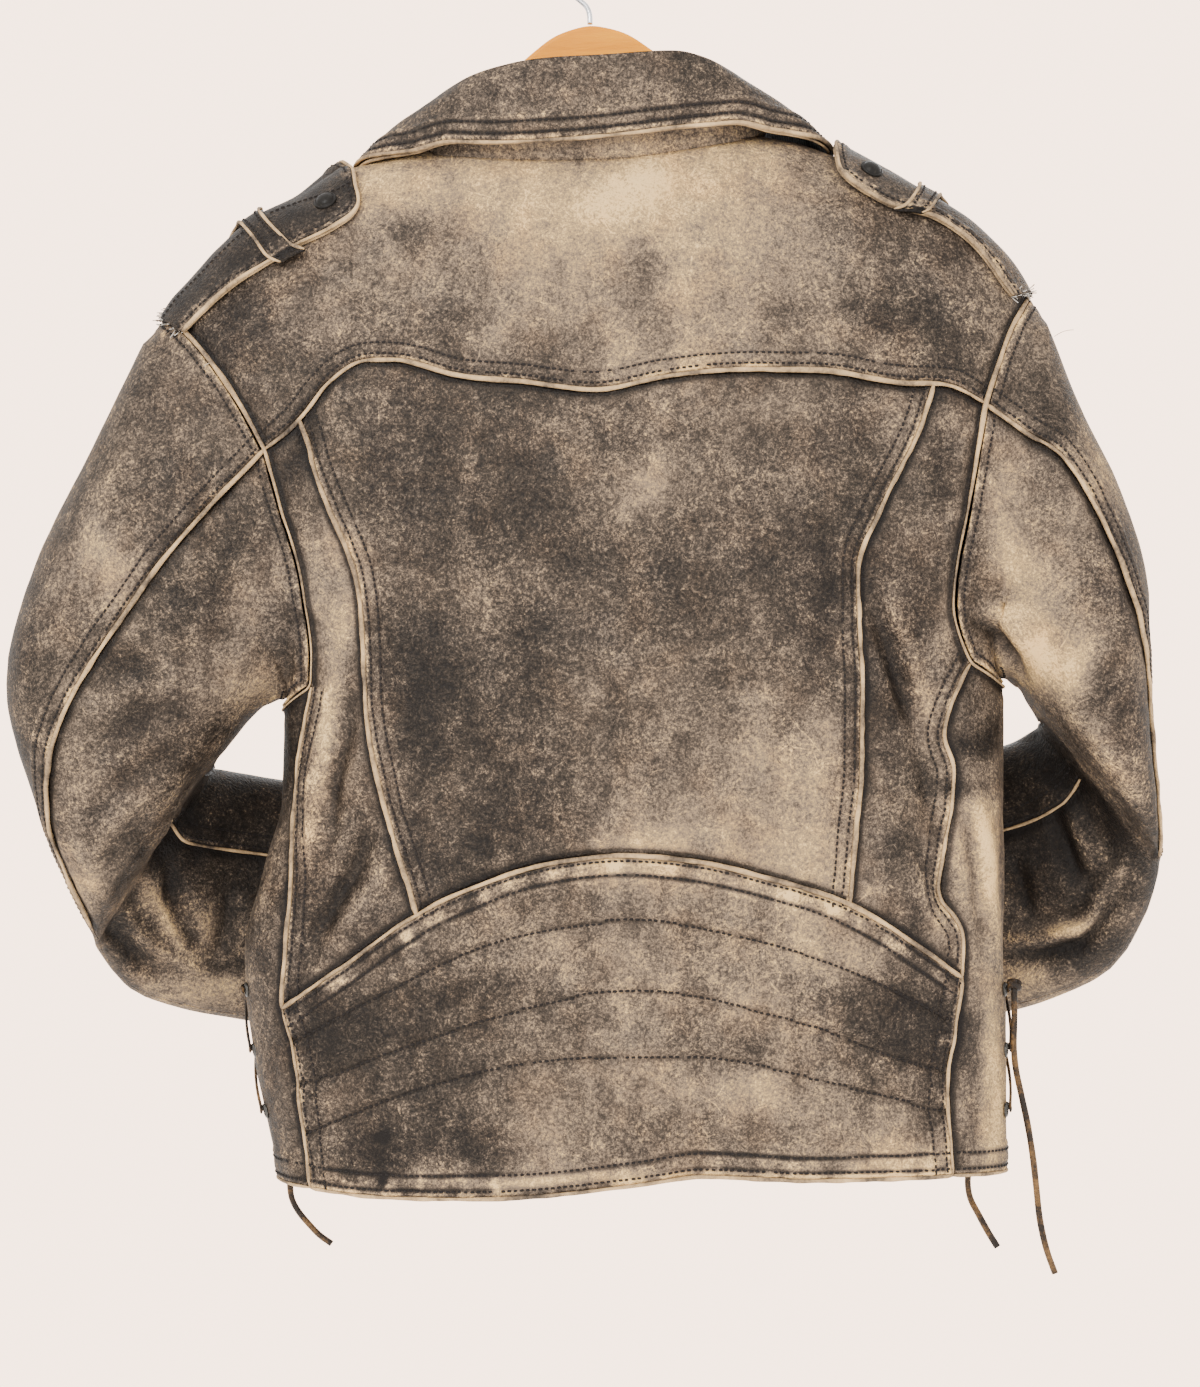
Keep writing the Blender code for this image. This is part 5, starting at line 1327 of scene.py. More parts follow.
def leather(name, base=0.4, speckle=1.0, crackle=1.0):
    """Distressed hide: blotches, fine crackle, bare rubbed edges, dirt and painted shade beside seams, and
    painted shade in hollows with painted light on ridges.
    """
    made = Finish(name)
    warped = made.warped(70.0, 0.006)
    blotch = made.noise(14.0, 3.0, 0.5)
    mottle = made.noise(70.0, 6.0, 0.68, warped)
    grain = made.noise(560.0, 2.0, 0.7, warped)
    fine = made.noise(1250.0, 2.0, 0.8)
    crack = made.cracks(420.0, warped)
    tone_of = made.sum(made.painted("tone"), base)
    contrast = made.between(tone_of, 0.05, 0.85, 1.6, 0.8)
    texture = 0.0
    smudge = made.noise(210.0, 5.0, 0.72, warped)
    for value, weight in (
        (blotch, 0.5), (mottle, 0.8), (smudge, 0.55), (grain, 0.85 * speckle), (fine, 0.7 * speckle),
    ):
        texture = made.sum(made.times(made.sum(value, -0.5), weight), texture)
    tone_of = made.sum(tone_of, made.times(texture, contrast))
    # Painted shade in the troughs of the relief and painted light on its ridges.
    tone_of = made.sum(tone_of, made.times(made.painted("hollow"), 0.075))
    rub = made.sum(made.painted("rub"), made.times(made.sum(mottle, -0.5), 1.6))
    tone_of = made.sum(tone_of, made.times(made.between(rub, 0.25, 1.15), 0.42))
    # Darker beside the welts and along the rows of stitches: stain, with painted shade of the welts and of
    # the grooves.
    dirt = made.sum(made.painted("dirt"), made.times(made.sum(grain, -0.5), 0.9))
    tone_of = made.sum(tone_of, made.times(made.between(dirt, 0.2, 1.0), -0.5))
    line = made.times(made.between(crack, 0.0, 0.1, 1.0, 0.0), made.between(mottle, 0.42, 0.6))
    tone_of = made.sum(tone_of, made.times(line, -0.16 * crackle))
    scratch = made.between(made.cracks(55.0, made.warped(30.0, 0.02)), 0.0, 0.022, 1.0, 0.0)
    scratch = made.times(scratch, made.between(made.noise(38.0, 2.0, 0.5), 0.52, 0.66))
    tone_of = made.sum(tone_of, made.times(scratch, 0.2))
    rough = made.between(tone_of, 0.1, 0.7, 0.5, 0.78)
    colour = made.steps(made.sum(made.times(tone_of, 0.76), 0.24), HIDE)
    warm = made.between(made.noise(34.0, 4.0, 0.6, warped), 0.46, 0.7, 0.0, 0.32)
    cold = made.between(made.noise(27.0, 4.0, 0.6), 0.5, 0.72, 0.0, 0.45)
    colour = made.mix(warm, colour, (1.0, 0.84, 0.68), "MULTIPLY")
    colour = made.mix(cold, colour, (0.84, 0.9, 1.0), "MULTIPLY")
    made.set(Base_Color=colour, Roughness=rough, Specular_IOR_Level=0.12)
    return made.bump((mottle, 0.0012), (crack, 0.0004), (grain, 0.0006)).material


def make_finishes():
    """Every material by name."""
    found = {
        "shell": leather("worn_leather"),
        "dark": leather("worn_leather_front", 0.36),
        "collar": leather("worn_leather_collar", 0.35),
        "strap_left": leather("worn_leather_strap_left", -0.02, 0.9, 1.6),
        "strap_right": leather("worn_leather_strap_right", 0.25, 0.9, 1.3),
    }
    welt_of = Finish("rubbed_welt")
    speck, long = welt_of.noise(600.0, 4.0, 0.7), welt_of.noise(45.0, 3.0, 0.6)
    value = welt_of.sum(welt_of.times(long, 0.8), welt_of.times(speck, 0.3))
    colour = welt_of.steps(value, WELT)
    welt_of.set(Base_Color=colour, Roughness=0.75, Specular_IOR_Level=0.25).bump((speck, 0.0006))
    found["welt"] = welt_of.material

    thread = Finish("dark_thread", 0.8)
    ply = thread.noise(2500.0, 2.0, 0.6)
    colour = thread.steps(ply, ((0.3, (0.004, 0.003, 0.003)), (0.7, (0.018, 0.014, 0.012))))
    found["thread"] = thread.set(Base_Color=colour, Specular_IOR_Level=0.2).bump((ply, 0.0003)).material

    lining = Finish("lining", 0.55)
    weave = lining.weave(320.0, 1.5)
    colour = lining.steps(weave, ((0.0, (0.012, 0.011, 0.011)), (1.0, (0.034, 0.031, 0.03))))
    found["lining"] = lining.set(Base_Color=colour, Sheen_Weight=0.2).bump((weave, 0.0004)).material

    lace = Finish("thong_leather", 0.55)
    grain, band = lace.noise(700.0, 4.0, 0.7), lace.noise(60.0, 3.0, 0.6)
    value = lace.sum(lace.times(band, 0.7), lace.times(grain, 0.4))
    colour = lace.steps(value, THONG)
    found["lace"] = lace.set(Base_Color=colour, Specular_IOR_Level=0.2).bump((grain, 0.0008)).material

    for name, base, rough, metal in (
        ("stud", (0.007, 0.006, 0.005), 0.42, 0.0), ("eyelet", (0.05, 0.047, 0.042), 0.4, 0.7),
        ("metal", (0.11, 0.1, 0.085), 0.35, 0.9),
    ):
        made = Finish(f"blackened_{name}", rough, metal)
        scratch = made.noise(380.0, 5.0, 0.75)
        worn = made.between(scratch, 0.52, 0.7)
        colour = made.mix(worn, base, tuple(min(1.0, 2.6 * c) for c in base))
        made.set(Base_Color=colour, Roughness=made.between(scratch, 0.3, 0.8, rough - 0.1, rough + 0.2))
        made.set(Specular_IOR_Level=0.12 if name == "stud" else 0.3)
        found[name] = made.bump((scratch, 0.0002)).material

    fray = Finish("frayed_fibre", 0.9)
    ply = fray.noise(1800.0, 2.0, 0.6)
    colour = fray.steps(ply, ((0.3, (0.2, 0.17, 0.14)), (0.7, (0.6, 0.55, 0.48))))
    found["fray"] = fray.set(Base_Color=colour).material

    tape = Finish("zip_tape", 0.8)
    weave = tape.weave(400.0, 0.5)
    colour = tape.steps(weave, ((0.0, (0.008, 0.008, 0.009)), (1.0, (0.03, 0.03, 0.032))))
    found["tape"] = tape.set(Base_Color=colour).bump((weave, 0.0004)).material

    wood = Finish("blond_wood", 0.34)
    stretch = wood.node("ShaderNodeMapping", {"Vector": wood.place, "Scale": (6.0, 60.0, 60.0)}).outputs[0]
    grain = wood.noise(2.2, 5.0, 0.6, stretch)
    fine = wood.noise(14.0, 5.0, 0.7, stretch)
    value = wood.sum(wood.times(grain, 0.75), wood.times(fine, 0.25))
    colour = wood.steps(value, WOOD)
    wood.set(Base_Color=colour, Coat_Weight=0.04, Coat_Roughness=0.3, Specular_IOR_Level=0.1)
    found["wood"] = wood.bump((fine, 0.0003)).material

    chrome = Finish("plated_steel", 0.18, 1.0)
    pits = chrome.noise(500.0, 4.0, 0.7)
    colour = chrome.steps(pits, ((0.3, (0.5, 0.5, 0.5)), (0.6, (0.72, 0.72, 0.73))))
    chrome.set(Base_Color=colour, Roughness=chrome.between(pits, 0.3, 0.8, 0.14, 0.32))
    found["chrome"] = chrome.bump((pits, 0.0001)).material
    return found


# ------------------------------------------------------------ pieces
def declare(node):
    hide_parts(node)


def panel(node, grid, leather_of, group, finish, slot="shell_leather", wall=WALL):
    """A panel of worn leather in place of its plain CAD solid."""
    points, rub, dirt, hollow = leather_of.laid(grid, group, wall)
    piece = shell(node + "_leather", points, rub, dirt, hollow, group, finish, slot, wall)
    declare(node)
    return piece


def torso_seams(seams, edges):
    """Every seam of the body, each with the direction of its stitched side."""
    hem = dict(welt=1.0, rows=(4.0, 13.5), lap=15.5, dip=0.2, stain=0.9)
    found = [
        torso_seam("yoke", seams["yoke"], (0, 0, 1), welt=1.35, rows=(3.9, 10.0), lap=12),
        torso_seam("princess_left", seams["princess_left"], (1, 0, 0), welt=1.5, rows=(4.8, 10.8)),
        torso_seam("princess_right", seams["princess_right"], (-1, 0, 0), welt=1.35, rows=(4.6, 10.6)),
        torso_seam(
            "waist", seams["waist"], (0, 0, -1), welt=1.3, rows=(3.4, 11.4), lap=13.5, pucker=0.8,
            stain=0.95, worn=0.85,
        ),
        torso_seam(
            "hem_back", seams["hem"], (0, 0, 1), welt=1.2, rows=(4.4, 13.5), lap=15.5, pucker=0.8,
            dip=0.2, stain=1.1, worn=0.6,
        ),
    ]
    for name, quilt in QUILT_ROWS.items():
        line = along(np.array(quilt, float) * MM, 300)
        line = np.stack([angle_at(line[:, 0], line[:, 1]), line[:, 1]], axis=-1)
        found.append(torso_seam(name, line, (0, 0, 1), welt=0, rows=(0,), lap=0, pucker=0.8, dip=1.3))
    for name, side in SIDES.items():
        edge = edges[name]
        inwards = (-side, 0, 0)
        centre = edge["centre_front"]
        found += [
            torso_seam(f"side_{name}", edge["side"], inwards, welt=1.2, rows=(4.4, 10.4), worn=0.2),
            torso_seam(f"band_{name}", edge["band"], inwards, welt=1.1, rows=(4, 12), pucker=0.8, worn=0.5),
            torso_seam(f"side_front_{name}", edge["side_front"], (0, 1, 0), welt=1.4, rows=(4.4, 10.4)),
            torso_seam(f"hem_side_{name}", edge["hem"], (0, 0, 1), **hem),
            torso_seam(f"hem_front_{name}", edge["hem_front"], (0, 0, 1), **hem),
            torso_seam(f"centre_front_{name}", centre, (side, 0, 0), welt=0, rows=(5.0,), lap=7, dip=0.2),
        ]
    return found


def armhole_seam(name, loop, sleeve):
    """The armhole, stitched on the sleeve's side."""
    loop = np.concatenate([loop, loop[:1]])
    inner, outer = raised(loop[:, 0], loop[:, 1], 0.0), raised(loop[:, 0], loop[:, 1], WALL * MM)
    towards = sleeve.at(np.full(len(loop), 0.08), np.arange(len(loop)) / FINER) - inner
    return Seam(
        f"armhole_{name}", outer, outer - inner, towards, welt=1.3, rows=(6.4,), lap=9, pucker=0.5,
        dip=-0.4, swell=((0, 1), (0.2, 1), (0.27, 0.5), (1, 0.5)), held=True,
    )


def make_body(finishes):
    """Body and sleeves in worn leather. Returns their seams and the neck line."""
    panels, seams, edges, neck_line = body_lines()
    lines = torso_seams(seams, edges)
    sleeves = {}
    for name, rows, elbow in (("left", SLEEVE_LEFT, 0.47), ("right", SLEEVE_RIGHT, 0.42)):
        loop = armhole_loop(edges[name])
        sleeve = sleeves[name] = Sleeve(rows, loop)
        back = dict(welt=1.4, rows=(3.8, 10.4), until=elbow)
        inside = dict(welt=0.95, rows=(3.8, 11.6), lap=14)
        lines += [
            armhole_seam(name, loop, sleeve),
            sleeve_seam(f"sleeve_back_{name}", sleeve, sleeve.back, False, **back),
            sleeve_seam(f"sleeve_front_{name}", sleeve, sleeve.front, True, welt=0.7, rows=(3.8, 10.4)),
            sleeve_seam(f"elbow_{name}", sleeve, ELBOW_COLUMN, True, 0.5, 0.97, **inside),
        ]
        cuff = sleeve.at(np.full(200, 0.999), np.linspace(0, sleeve.count, 200))
        out = cuff - cuff.mean(axis=0)
        before, end = (sleeve.at(np.array([place]), np.array([0.0])) for place in (0.9, 0.999))
        lines.append(
            Seam(f"cuff_{name}", cuff, out, before - end, welt=1.3, rows=(5.0, 14.0), lap=16, dip=0.2)
        )
    worn = Leather(lines)
    for node, outline in panels.items():
        front = node.startswith("front")
        cell = FRONT_CELL if front else QUILT_CELL if node == "waist_panel_back" else FINE_CELL
        grid = patch(*outline, cell)
        points = drawn_in(torso(grid[..., 0], grid[..., 1]))
        centre = np.stack([ring(points[..., 2])[0], 0 * points[..., 0], points[..., 2]], axis=-1)
        panel(node, faced(points, centre), worn, "body", finishes["dark" if front else "shell"])
    for name, sleeve in sleeves.items():
        for part, first, last in (
            ("top", sleeve.front - sleeve.count, sleeve.back),
            ("under", sleeve.back, sleeve.front),
        ):
            points = drawn_in(sleeve.grid(first, last, SLEEVE_CELL))
            around = np.linspace(0, sleeve.count, 48, endpoint=False)[None]
            lengthwise = np.linspace(0.004, 1, len(points))[:, None]
            centre = sleeve.at(lengthwise, around).mean(axis=1, keepdims=True)
            panel(f"{part}_sleeve_{name}", faced(points, centre), worn, name, finishes["shell"])
    return lines, neck_line


def edge_normals(grid_line, inner_line, centre):
    """Normals of a line at the edge of a grid, away from the centre."""
    normal = unit(np.cross(np.gradient(grid_line, axis=0), inner_line - grid_line))
    return normal * np.sign(np.sum(normal * (grid_line - centre)))


def make_collar(neck_line, finishes):
    """The stand from the neck seam up to the fold, and the leaf that turns down over it."""
    lines = table(COLLAR_COLUMNS, COLLAR)
    neck = torso(neck_line[:, 0], neck_line[:, 1])
    count = len(neck) - 1
    fold, edge = (
        along(np.stack([lines[f"{part}_{k}"] for k in ("x", "y", "height")], axis=-1), count)
        for part in ("fold", "edge")
    )
    up = np.array([0, 0, 1.0])
    edge[:, 1] += LEAF_SETTLE * MM * ramp(edge[:, 1], -20 * MM, -40 * MM)
    on_shoulder = ramp(np.abs(edge[:, 0] - 2 * MM), 82 * MM, 106 * MM)
    edge[:, 2] -= LEAF_DROP * MM * on_shoulder * ramp(edge[:, 1], 10 * MM, -10 * MM)
    away = unit((edge - neck) * np.array([1, 1, 0]))
    foot = neck + LAY_GAP * MM * up
    stand = np.stack([foot, foot * 0.6 + fold * 0.4 + STAND_BULGE * MM * away, fold - 3 * MM * up])
    stand = smooth(np.linspace(0, 1, 24), [0, 0.4, 1], stand)
    roll = fold + 2.5 * MM * away
    shoulder = (fold * 2 + edge) / 3 + 6.5 * MM * away + 1 * MM * up
    lower = (fold + edge * 2) / 3 + 5.5 * MM * away
    leaf = clear_of_torso(np.stack([edge, lower, shoulder, roll]), (WALL + COLLAR_LIFT) * MM)
    leaf = smooth(np.linspace(0, 1, 30), [0, 0.33, 0.67, 1], leaf)
    centre = np.array([0.002, 0.01, -0.13])
    leaf, stand = faced(leaf, centre), faced(stand, centre)
    edge_line = leaf[0]
    normal = edge_normals(edge_line, leaf[1], centre)
    seam_of = Seam(
        "collar_edge", edge_line + normal * COLLAR_WALL * MM, normal, leaf[1] - leaf[0], welt=1.25,
        rows=(5.2, 11.6), lap=14, pucker=0.5, dip=0.3, stain=0.8, under=(2.6, 3.2),
    )
    neck_normal = edge_normals(stand[0], stand[1], centre)
    neck_seam = Seam(
        "neck", stand[0] + neck_normal * WALL * MM, neck_normal, stand[1] - stand[0], welt=0,
        rows=(), lap=0, pucker=0.3, dip=0.4,
    )
    worn = Leather([seam_of, neck_seam])
    panel("collar_stand", stand, worn, "stand", finishes["shell"], "trim_leather")
    panel("collar_leaf", leaf, worn, "collar", finishes["collar"], "trim_leather", COLLAR_WALL)
    return seam_of, neck_seam


def strap_points(side, edge, ridge, out, lengthwise, across):
    """Points over the shoulder, for places along the ridge and places down from it."""
    dense = along(np.array(edge, float) * MM, 60)
    steps = np.linspace(0, 1, 61)
    x, height = (np.interp(lengthwise, steps, dense[:, i]) for i in (0, 1))
    back_angle = angle_at(x, height)
    ridge_height = np.interp(lengthwise, steps, ridge_heights(side, *np.array(ridge) * MM, 60))
    turn = side * math.pi / 2
    angle = turn + (back_angle - turn) * across
    height = ridge_height + (height - ridge_height) * np.abs(across)
    return raised(angle, height, out * MM)


def make_strap(name, side, edge, ridge, keeper, snap, lift, finishes):
    """Shoulder strap, piped all round but for its frayed outer end, with its keeper and its press stud."""
    strap_out = WALL + STRAP_LIFT
    lengthwise = np.linspace(0, 1, 76)
    narrowed = np.interp(lengthwise, [0, 0.04, 1], [0.95, 1.0, 1.0])
    across = np.linspace(-0.35, 1, 40)[:, None] * narrowed[None]
    out = strap_out + lift * ramp(lengthwise, 0.3, 0.0)[None] + 0 * across
    middle = strap_points(side, edge, ridge, -40, lengthwise, 0 * lengthwise + 0.3)
    plain = strap_points(side, edge, ridge, out, lengthwise[None], across)
    free_end = ramp(lengthwise, 0.32, 0.0)[None] ** 1.5
    plain[..., 0] -= side * np.interp(across, STRAP_ACROSS, STRAP_REACH[name]) * MM * free_end
    plain[..., 2] += np.interp(across, STRAP_ACROSS, STRAP_STAND[name]) * MM * free_end
    plain[..., 1] = np.where(across < 0.05, plain[..., 1], behind_torso(plain, strap_out * MM))
    ragged = noise(plain[:, -1], 0.0035, 81) * 1.3 + noise(plain[:, -1], 0.009, 82)
    plain[:, -1] += unit(plain[:, -1] - plain[:, -2]) * ragged[:, None] * MM
    grid = faced(plain, middle[None])
    normals = outward(grid)
    way = 1
    if grid is not plain:
        normals, way = normals[:, ::-1], -1
    rim, rim_normal = (np.concatenate([g[-1][::-1], g[1:-1, 0][::-1], g[0]]) for g in (plain, normals))
    inwards = plain.mean(axis=(0, 1)) - rim
    seam_of = Seam(
        f"strap_{name}", rim + rim_normal * STRAP_WALL * MM, rim_normal, inwards, welt=1.15, rows=(4.2,),
        lap=6, pucker=0.4, dip=0.1, under=(1.3, 2.2), scuff=0.9,
    )
    finish = finishes[f"strap_{name}"]
    panel(f"epaulette_{name}", grid, Leather([seam_of]), "strap", finish, "trim_leather", STRAP_WALL)
    at = np.linspace(keeper - 0.06, keeper + 0.06, 14)
    around = np.linspace(-0.4, 1.1, 44)[:, None]
    leaning = at[None] - np.interp(around, STRAP_ACROSS, KEEPER_SHIFT[name])
    band_out = strap_out + STRAP_WALL + LAY_GAP * 2
    band = strap_points(side, edge, ridge, band_out, leaning, around + 0 * at[None])
    band = faced(band, strap_points(side, edge, ridge, -40, at, 0 * at + 0.3)[None])
    panel(f"keeper_{name}", band, Leather([seam_of]), "keeper", finish)
    normals = outward(band)
    sides = [
        Seam(
            f"keeper_{name}_{k}", band[:, k] + normals[:, k] * WALL * MM, normals[:, k],
            band[:, 7] - band[:, k], welt=1.0, rows=(3.0,), lap=0,
        )
        for k in (0, -1)
    ]
    x, height = np.array(snap) * MM
    spot = raised(angle_at(x, height), height, (strap_out + STRAP_WALL) * MM)
    seats, axes, _ = Ground().under([spot])
    seat = seats[0] - axes[0] * 0.3 * MM
    stud = turned(f"snap_{name}_cap", SNAP_PROFILE, seat, axes[0], finishes["stud"], "dark_metal")
    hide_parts(f"snap_{name}")
    if name == "left":
        up = outward(plain)[UPPER_ROW] * way
        upper = plain[UPPER_ROW] + up * STRAP_WALL * MM
        downwards = plain[-1] - plain[UPPER_ROW]
        sides.append(Seam("strap_left_upper", upper, up, downwards, welt=0, rows=(0.0,), lap=0))
    return [seam_of, *sides], plain[:, -1], rim_normal[0]


def make_loose_threads(ends, finishes):
    """Broken threads and torn fibres at the straps' frayed ends, on a keeper and on a sleeve."""
    rng = np.random.default_rng(17)
    pale, dark = Bundle(), Bundle()

    def thread(bundle, spot, way, length, curl, radius):
        steps = np.linspace(0, 1, 9)[:, None]
        bend = unit(np.cross(way, rng.normal(size=3)))
        line = spot + way * steps * length * MM + bend * np.sin(steps * curl) * length * 0.25 * MM
        width = np.full(9, radius * MM)
        bundle.add(*swept(line, np.cross(bend, way) + 0 * line, width, width, sides=5))

    for end, normal, outwards in ends:
        for k, spot in enumerate(end[::2]):
            for _ in range(3):
                way = unit(outwards + rng.normal(size=3) * 0.6 + normal * 0.7)
                bundle = pale if rng.random() < 0.6 else dark
                foot = spot - outwards * 0.8 * MM
                thread(bundle, foot, way, rng.uniform(2.0, 7.5), rng.uniform(0.5, 3), 0.3)
    for foot, way, length in STRAY_THREADS:
        bundle = pale if length < 8 else dark
        thread(bundle, np.array(foot) * MM, unit(np.array(way, float)), length, 2.6, 0.17)
    pale.made("loose_threads_pale", finishes["fray"], "trim_leather")
    dark.made("loose_threads_dark", finishes["thread"], "trim_leather")


def make_lacing(name, side, finishes):
    """Eyelets in two columns on the side panel, and the lace that crosses between them."""
    route = []
    rise = 1.5 + LACE_RADIUS * 0.45
    for row in range(LACE_ROWS):
        height = (LACE_TOP - row * LACE_PITCH) * MM
        for column, turn in (("back", -1), ("front", 1)):
            angle = side * (math.pi / 2 + turn * math.radians(LACE_ANGLE))
            seat = raised(angle, height, (WALL + LAY_GAP) * MM)
            out = raised(angle, height, 10 * MM) - seat
            node = f"eyelet_{name}_{column}_{row + 1}"
            finish = finishes["eyelet"]
            eye = turned(f"{node}_ring", EYELET_PROFILE, seat, out, finish, "dark_metal", steps=28)
            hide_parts(node)
            route.append((angle, height))
    steps = np.linspace(0, len(route) - 1, LACING_POINTS * (len(route) - 1) + 1)
    angles, heights = (np.interp(steps, range(len(route)), values) for values in zip(*route))
    outs = (WALL + LAY_GAP + rise + 0.5 * np.sin(math.pi * (steps % 1))) * MM
    line = np.stack([raised(*spot) for spot in zip(angles, heights, outs)])
    line = spaced(softened(line, 2), 2.5 * MM)
    up = unit(line - np.array([ring(LACE_TOP * MM)[0], 0, 0]) * [1, 0, 0] - line * [0, 0, 1])
    bundle = Bundle()
    width = LACE_RADIUS * MM * (1 + 0.08 * noise(line, 0.01, 61))
    bundle.add(*swept(line, up, width * 1.1, width * 0.45, sides=10))
    piece = bundle.made(f"lacing_{name}_thong", finishes["lace"], "lace_leather")
    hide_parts(f"lacing_{name}")


def thong(name, route, count, finish):
    """A leather lace through a route in millimetres, a little uneven in thickness."""
    line = along(np.array(route, float) * MM, count)
    curve = bpy.data.curves.new(name, "CURVE")
    curve.dimensions = "3D"
    curve.bevel_depth = LACE_RADIUS * MM
    curve.bevel_resolution = 3
    curve.use_fill_caps = True
    spline = curve.splines.new("POLY")
    spline.points.add(len(line) - 1)
    for point, spot in zip(spline.points, line):
        point.co = (*spot, 1)
        point.radius = 1 + 0.07 * float(noise(spot, 0.009, 60))
    curve.materials.append(finish)
    piece = place(bpy.data.objects.new(name, curve), "lace_leather")
    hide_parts(name)
    return piece, line


def make_cords(finish):
    """The three free ends of the side laces."""
    for name, route, count in (
        ("lace_end_left", LACE_END_LEFT, 28),
        ("lace_end_right", LACE_END_RIGHT, 36),
        ("lace_long_right", LACE_LONG_RIGHT, 40),
    ):
        piece, line = thong(name, route, count, finish)


def make_knot(finishes):
    """The knot of the long lace: one turn of the thong round itself."""
    turns = np.linspace(0, 2 * math.pi * 1.75, 60)
    centre = np.array(LACE_KNOT) * MM
    wide, tall = 3.0 * MM, 2.2 * MM
    line = np.stack([
        np.cos(turns) * wide, np.sin(turns) * wide * 0.8, np.sin(turns * 0.57 + 0.4) * tall,
    ], axis=-1) + centre
    bundle = Bundle()
    bundle.add(*swept(line, unit(line - centre), 1.7 * MM, 1.5 * MM, sides=10))
    core = np.stack([0 * turns[:12], 0 * turns[:12], np.linspace(-4.5, 3.5, 12) * MM], axis=-1) + centre
    bundle.add(*swept(core, np.broadcast_to([0, -1.0, 0], core.shape), 1.8 * MM, 1.8 * MM, sides=10))
    piece = bundle.made("lace_knot_turns", finishes["lace"], "lace_leather")
    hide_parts("lace_knot")


def make_zip(finishes):
    """The closed zip's tape and teeth. The slider, bridge and pull tab keep their CAD shape."""
    top, bottom = NECK_FRONT_LEFT[-1][1] - 2, HEM_FRONT
    heights = np.linspace(top, bottom, 120) * MM
    half = ZIP_WIDTH / 2 + 2.2
    columns = [centre_front(heights, -x) + 0 * heights for x in np.linspace(-half, half, 12)]
    grid = np.stack([raised(angles, heights, -1.3 * MM) for angles in columns], axis=1)
    grid = faced(grid, np.array([0.006, 0, 0]) + grid * [0, 0, 1])
    faces = grid_faces(*grid.shape[:2])
    tape = solid("zip_tape", grid.reshape(-1, 3), faces, finishes["tape"], "dark_metal")
    wall = tape.modifiers.new("wall", "SOLIDIFY")
    wall.thickness = 1.0 * MM
    wall.offset = 1
    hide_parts("zip_strip")
    teeth = Bundle()
    count = int((top - bottom) / TOOTH_PITCH) - 2
    outline = grid_faces(2, len(TOOTH), loop=True)
    j = np.arange(len(TOOTH))
    ends = [j[::-1].tolist(), (j + len(TOOTH)).tolist()]
    for i in range(count):
        height = (top - 3 - i * TOOTH_PITCH) * MM
        if abs(height / MM - SLIDER_HEIGHT) < 8:
            continue
        for side in (-1, 1):
            seat = torso(math.pi, height + side * TOOTH_PITCH / 4 * MM) - np.array([0, 0.3 * MM, 0])
            flat = TOOTH * [-side, 1] + [side * 2.4, 0]
            layer = np.stack([flat[:, 0], 0 * flat[:, 0], flat[:, 1]], axis=-1) * MM + seat
            both = np.concatenate([layer, layer + np.array([0, TOOTH_THICKNESS * MM, 0])])
            order = outline if side < 0 else outline[:, ::-1]
            teeth.add(both, order, ends if side < 0 else [e[::-1] for e in ends])
    teeth.made("zip_teeth", finishes["metal"], "dark_metal")


def make_hanger(finishes):
    """Flat wooden hanger, hung a little askew, and its plated steel hook."""
    right = HANGER_TOP[1:] + HANGER_BOTTOM
    left = tuple((-x, z) for x, z in reversed(HANGER_TOP[1:] + HANGER_BOTTOM[:-1]))
    outline = np.array([(x, z - HANGER_PIVOT) for x, z in (HANGER_TOP[0],) + right + left], float)
    outline = spaced(np.concatenate([outline, outline[:1]]), 3.0)[:-1]
    for _ in range(8):
        outline = (np.roll(outline, 1, axis=0) + 2 * outline + np.roll(outline, -1, axis=0)) / 4
    curve = bpy.data.curves.new("hanger_board", "CURVE")
    curve.dimensions = "2D"
    curve.fill_mode = "BOTH"
    bevel = 2.4
    curve.extrude = (HANGER_THICKNESS / 2 - bevel) * MM
    curve.bevel_depth = bevel * MM
    curve.bevel_resolution = 4
    curve.offset = -bevel * MM
    spline = curve.splines.new("POLY")
    spline.points.add(len(outline) - 1)
    for point, (x, y) in zip(spline.points, outline):
        point.co = (x * MM, y * MM, 0, 1)
    spline.use_cyclic_u = True
    curve.materials.append(finishes["wood"])
    board = bpy.data.objects.new("hanger_board", curve)
    board.rotation_euler = (math.pi / 2, -math.radians(HANGER_TILT), 0)
    board.location = (0, 0, HANGER_PIVOT * MM)
    place(board, "hanger_wood")
    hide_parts("hanger_wood")
    radius = HOOK_RADIUS + HOOK_WIRE
    turns = np.radians(np.linspace(HOOK_START, HOOK_END, 60))
    bend = [(radius * math.cos(a), 0, radius * math.sin(a) - HOOK_RADIUS) for a in turns]
    stem = [(0, 0, HANGER_PIVOT + 0.4), (0, 0, HANGER_PIVOT + 6), (-1.5, 0, HANGER_PIVOT + 11)]
    line = spaced(np.array(stem + bend) * MM, 1.5 * MM)
    line = softened(line, 3)
    bundle = Bundle()
    radius = np.full(len(line), HOOK_WIRE * MM)
    radius[-1] *= 0.6
    bundle.add(*swept(line, np.broadcast_to([0, -1.0, 0], line.shape), radius, radius, sides=16))
    hook = bundle.made("hook_wire", finishes["chrome"], "hook_steel")
    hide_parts("hanger_hook")


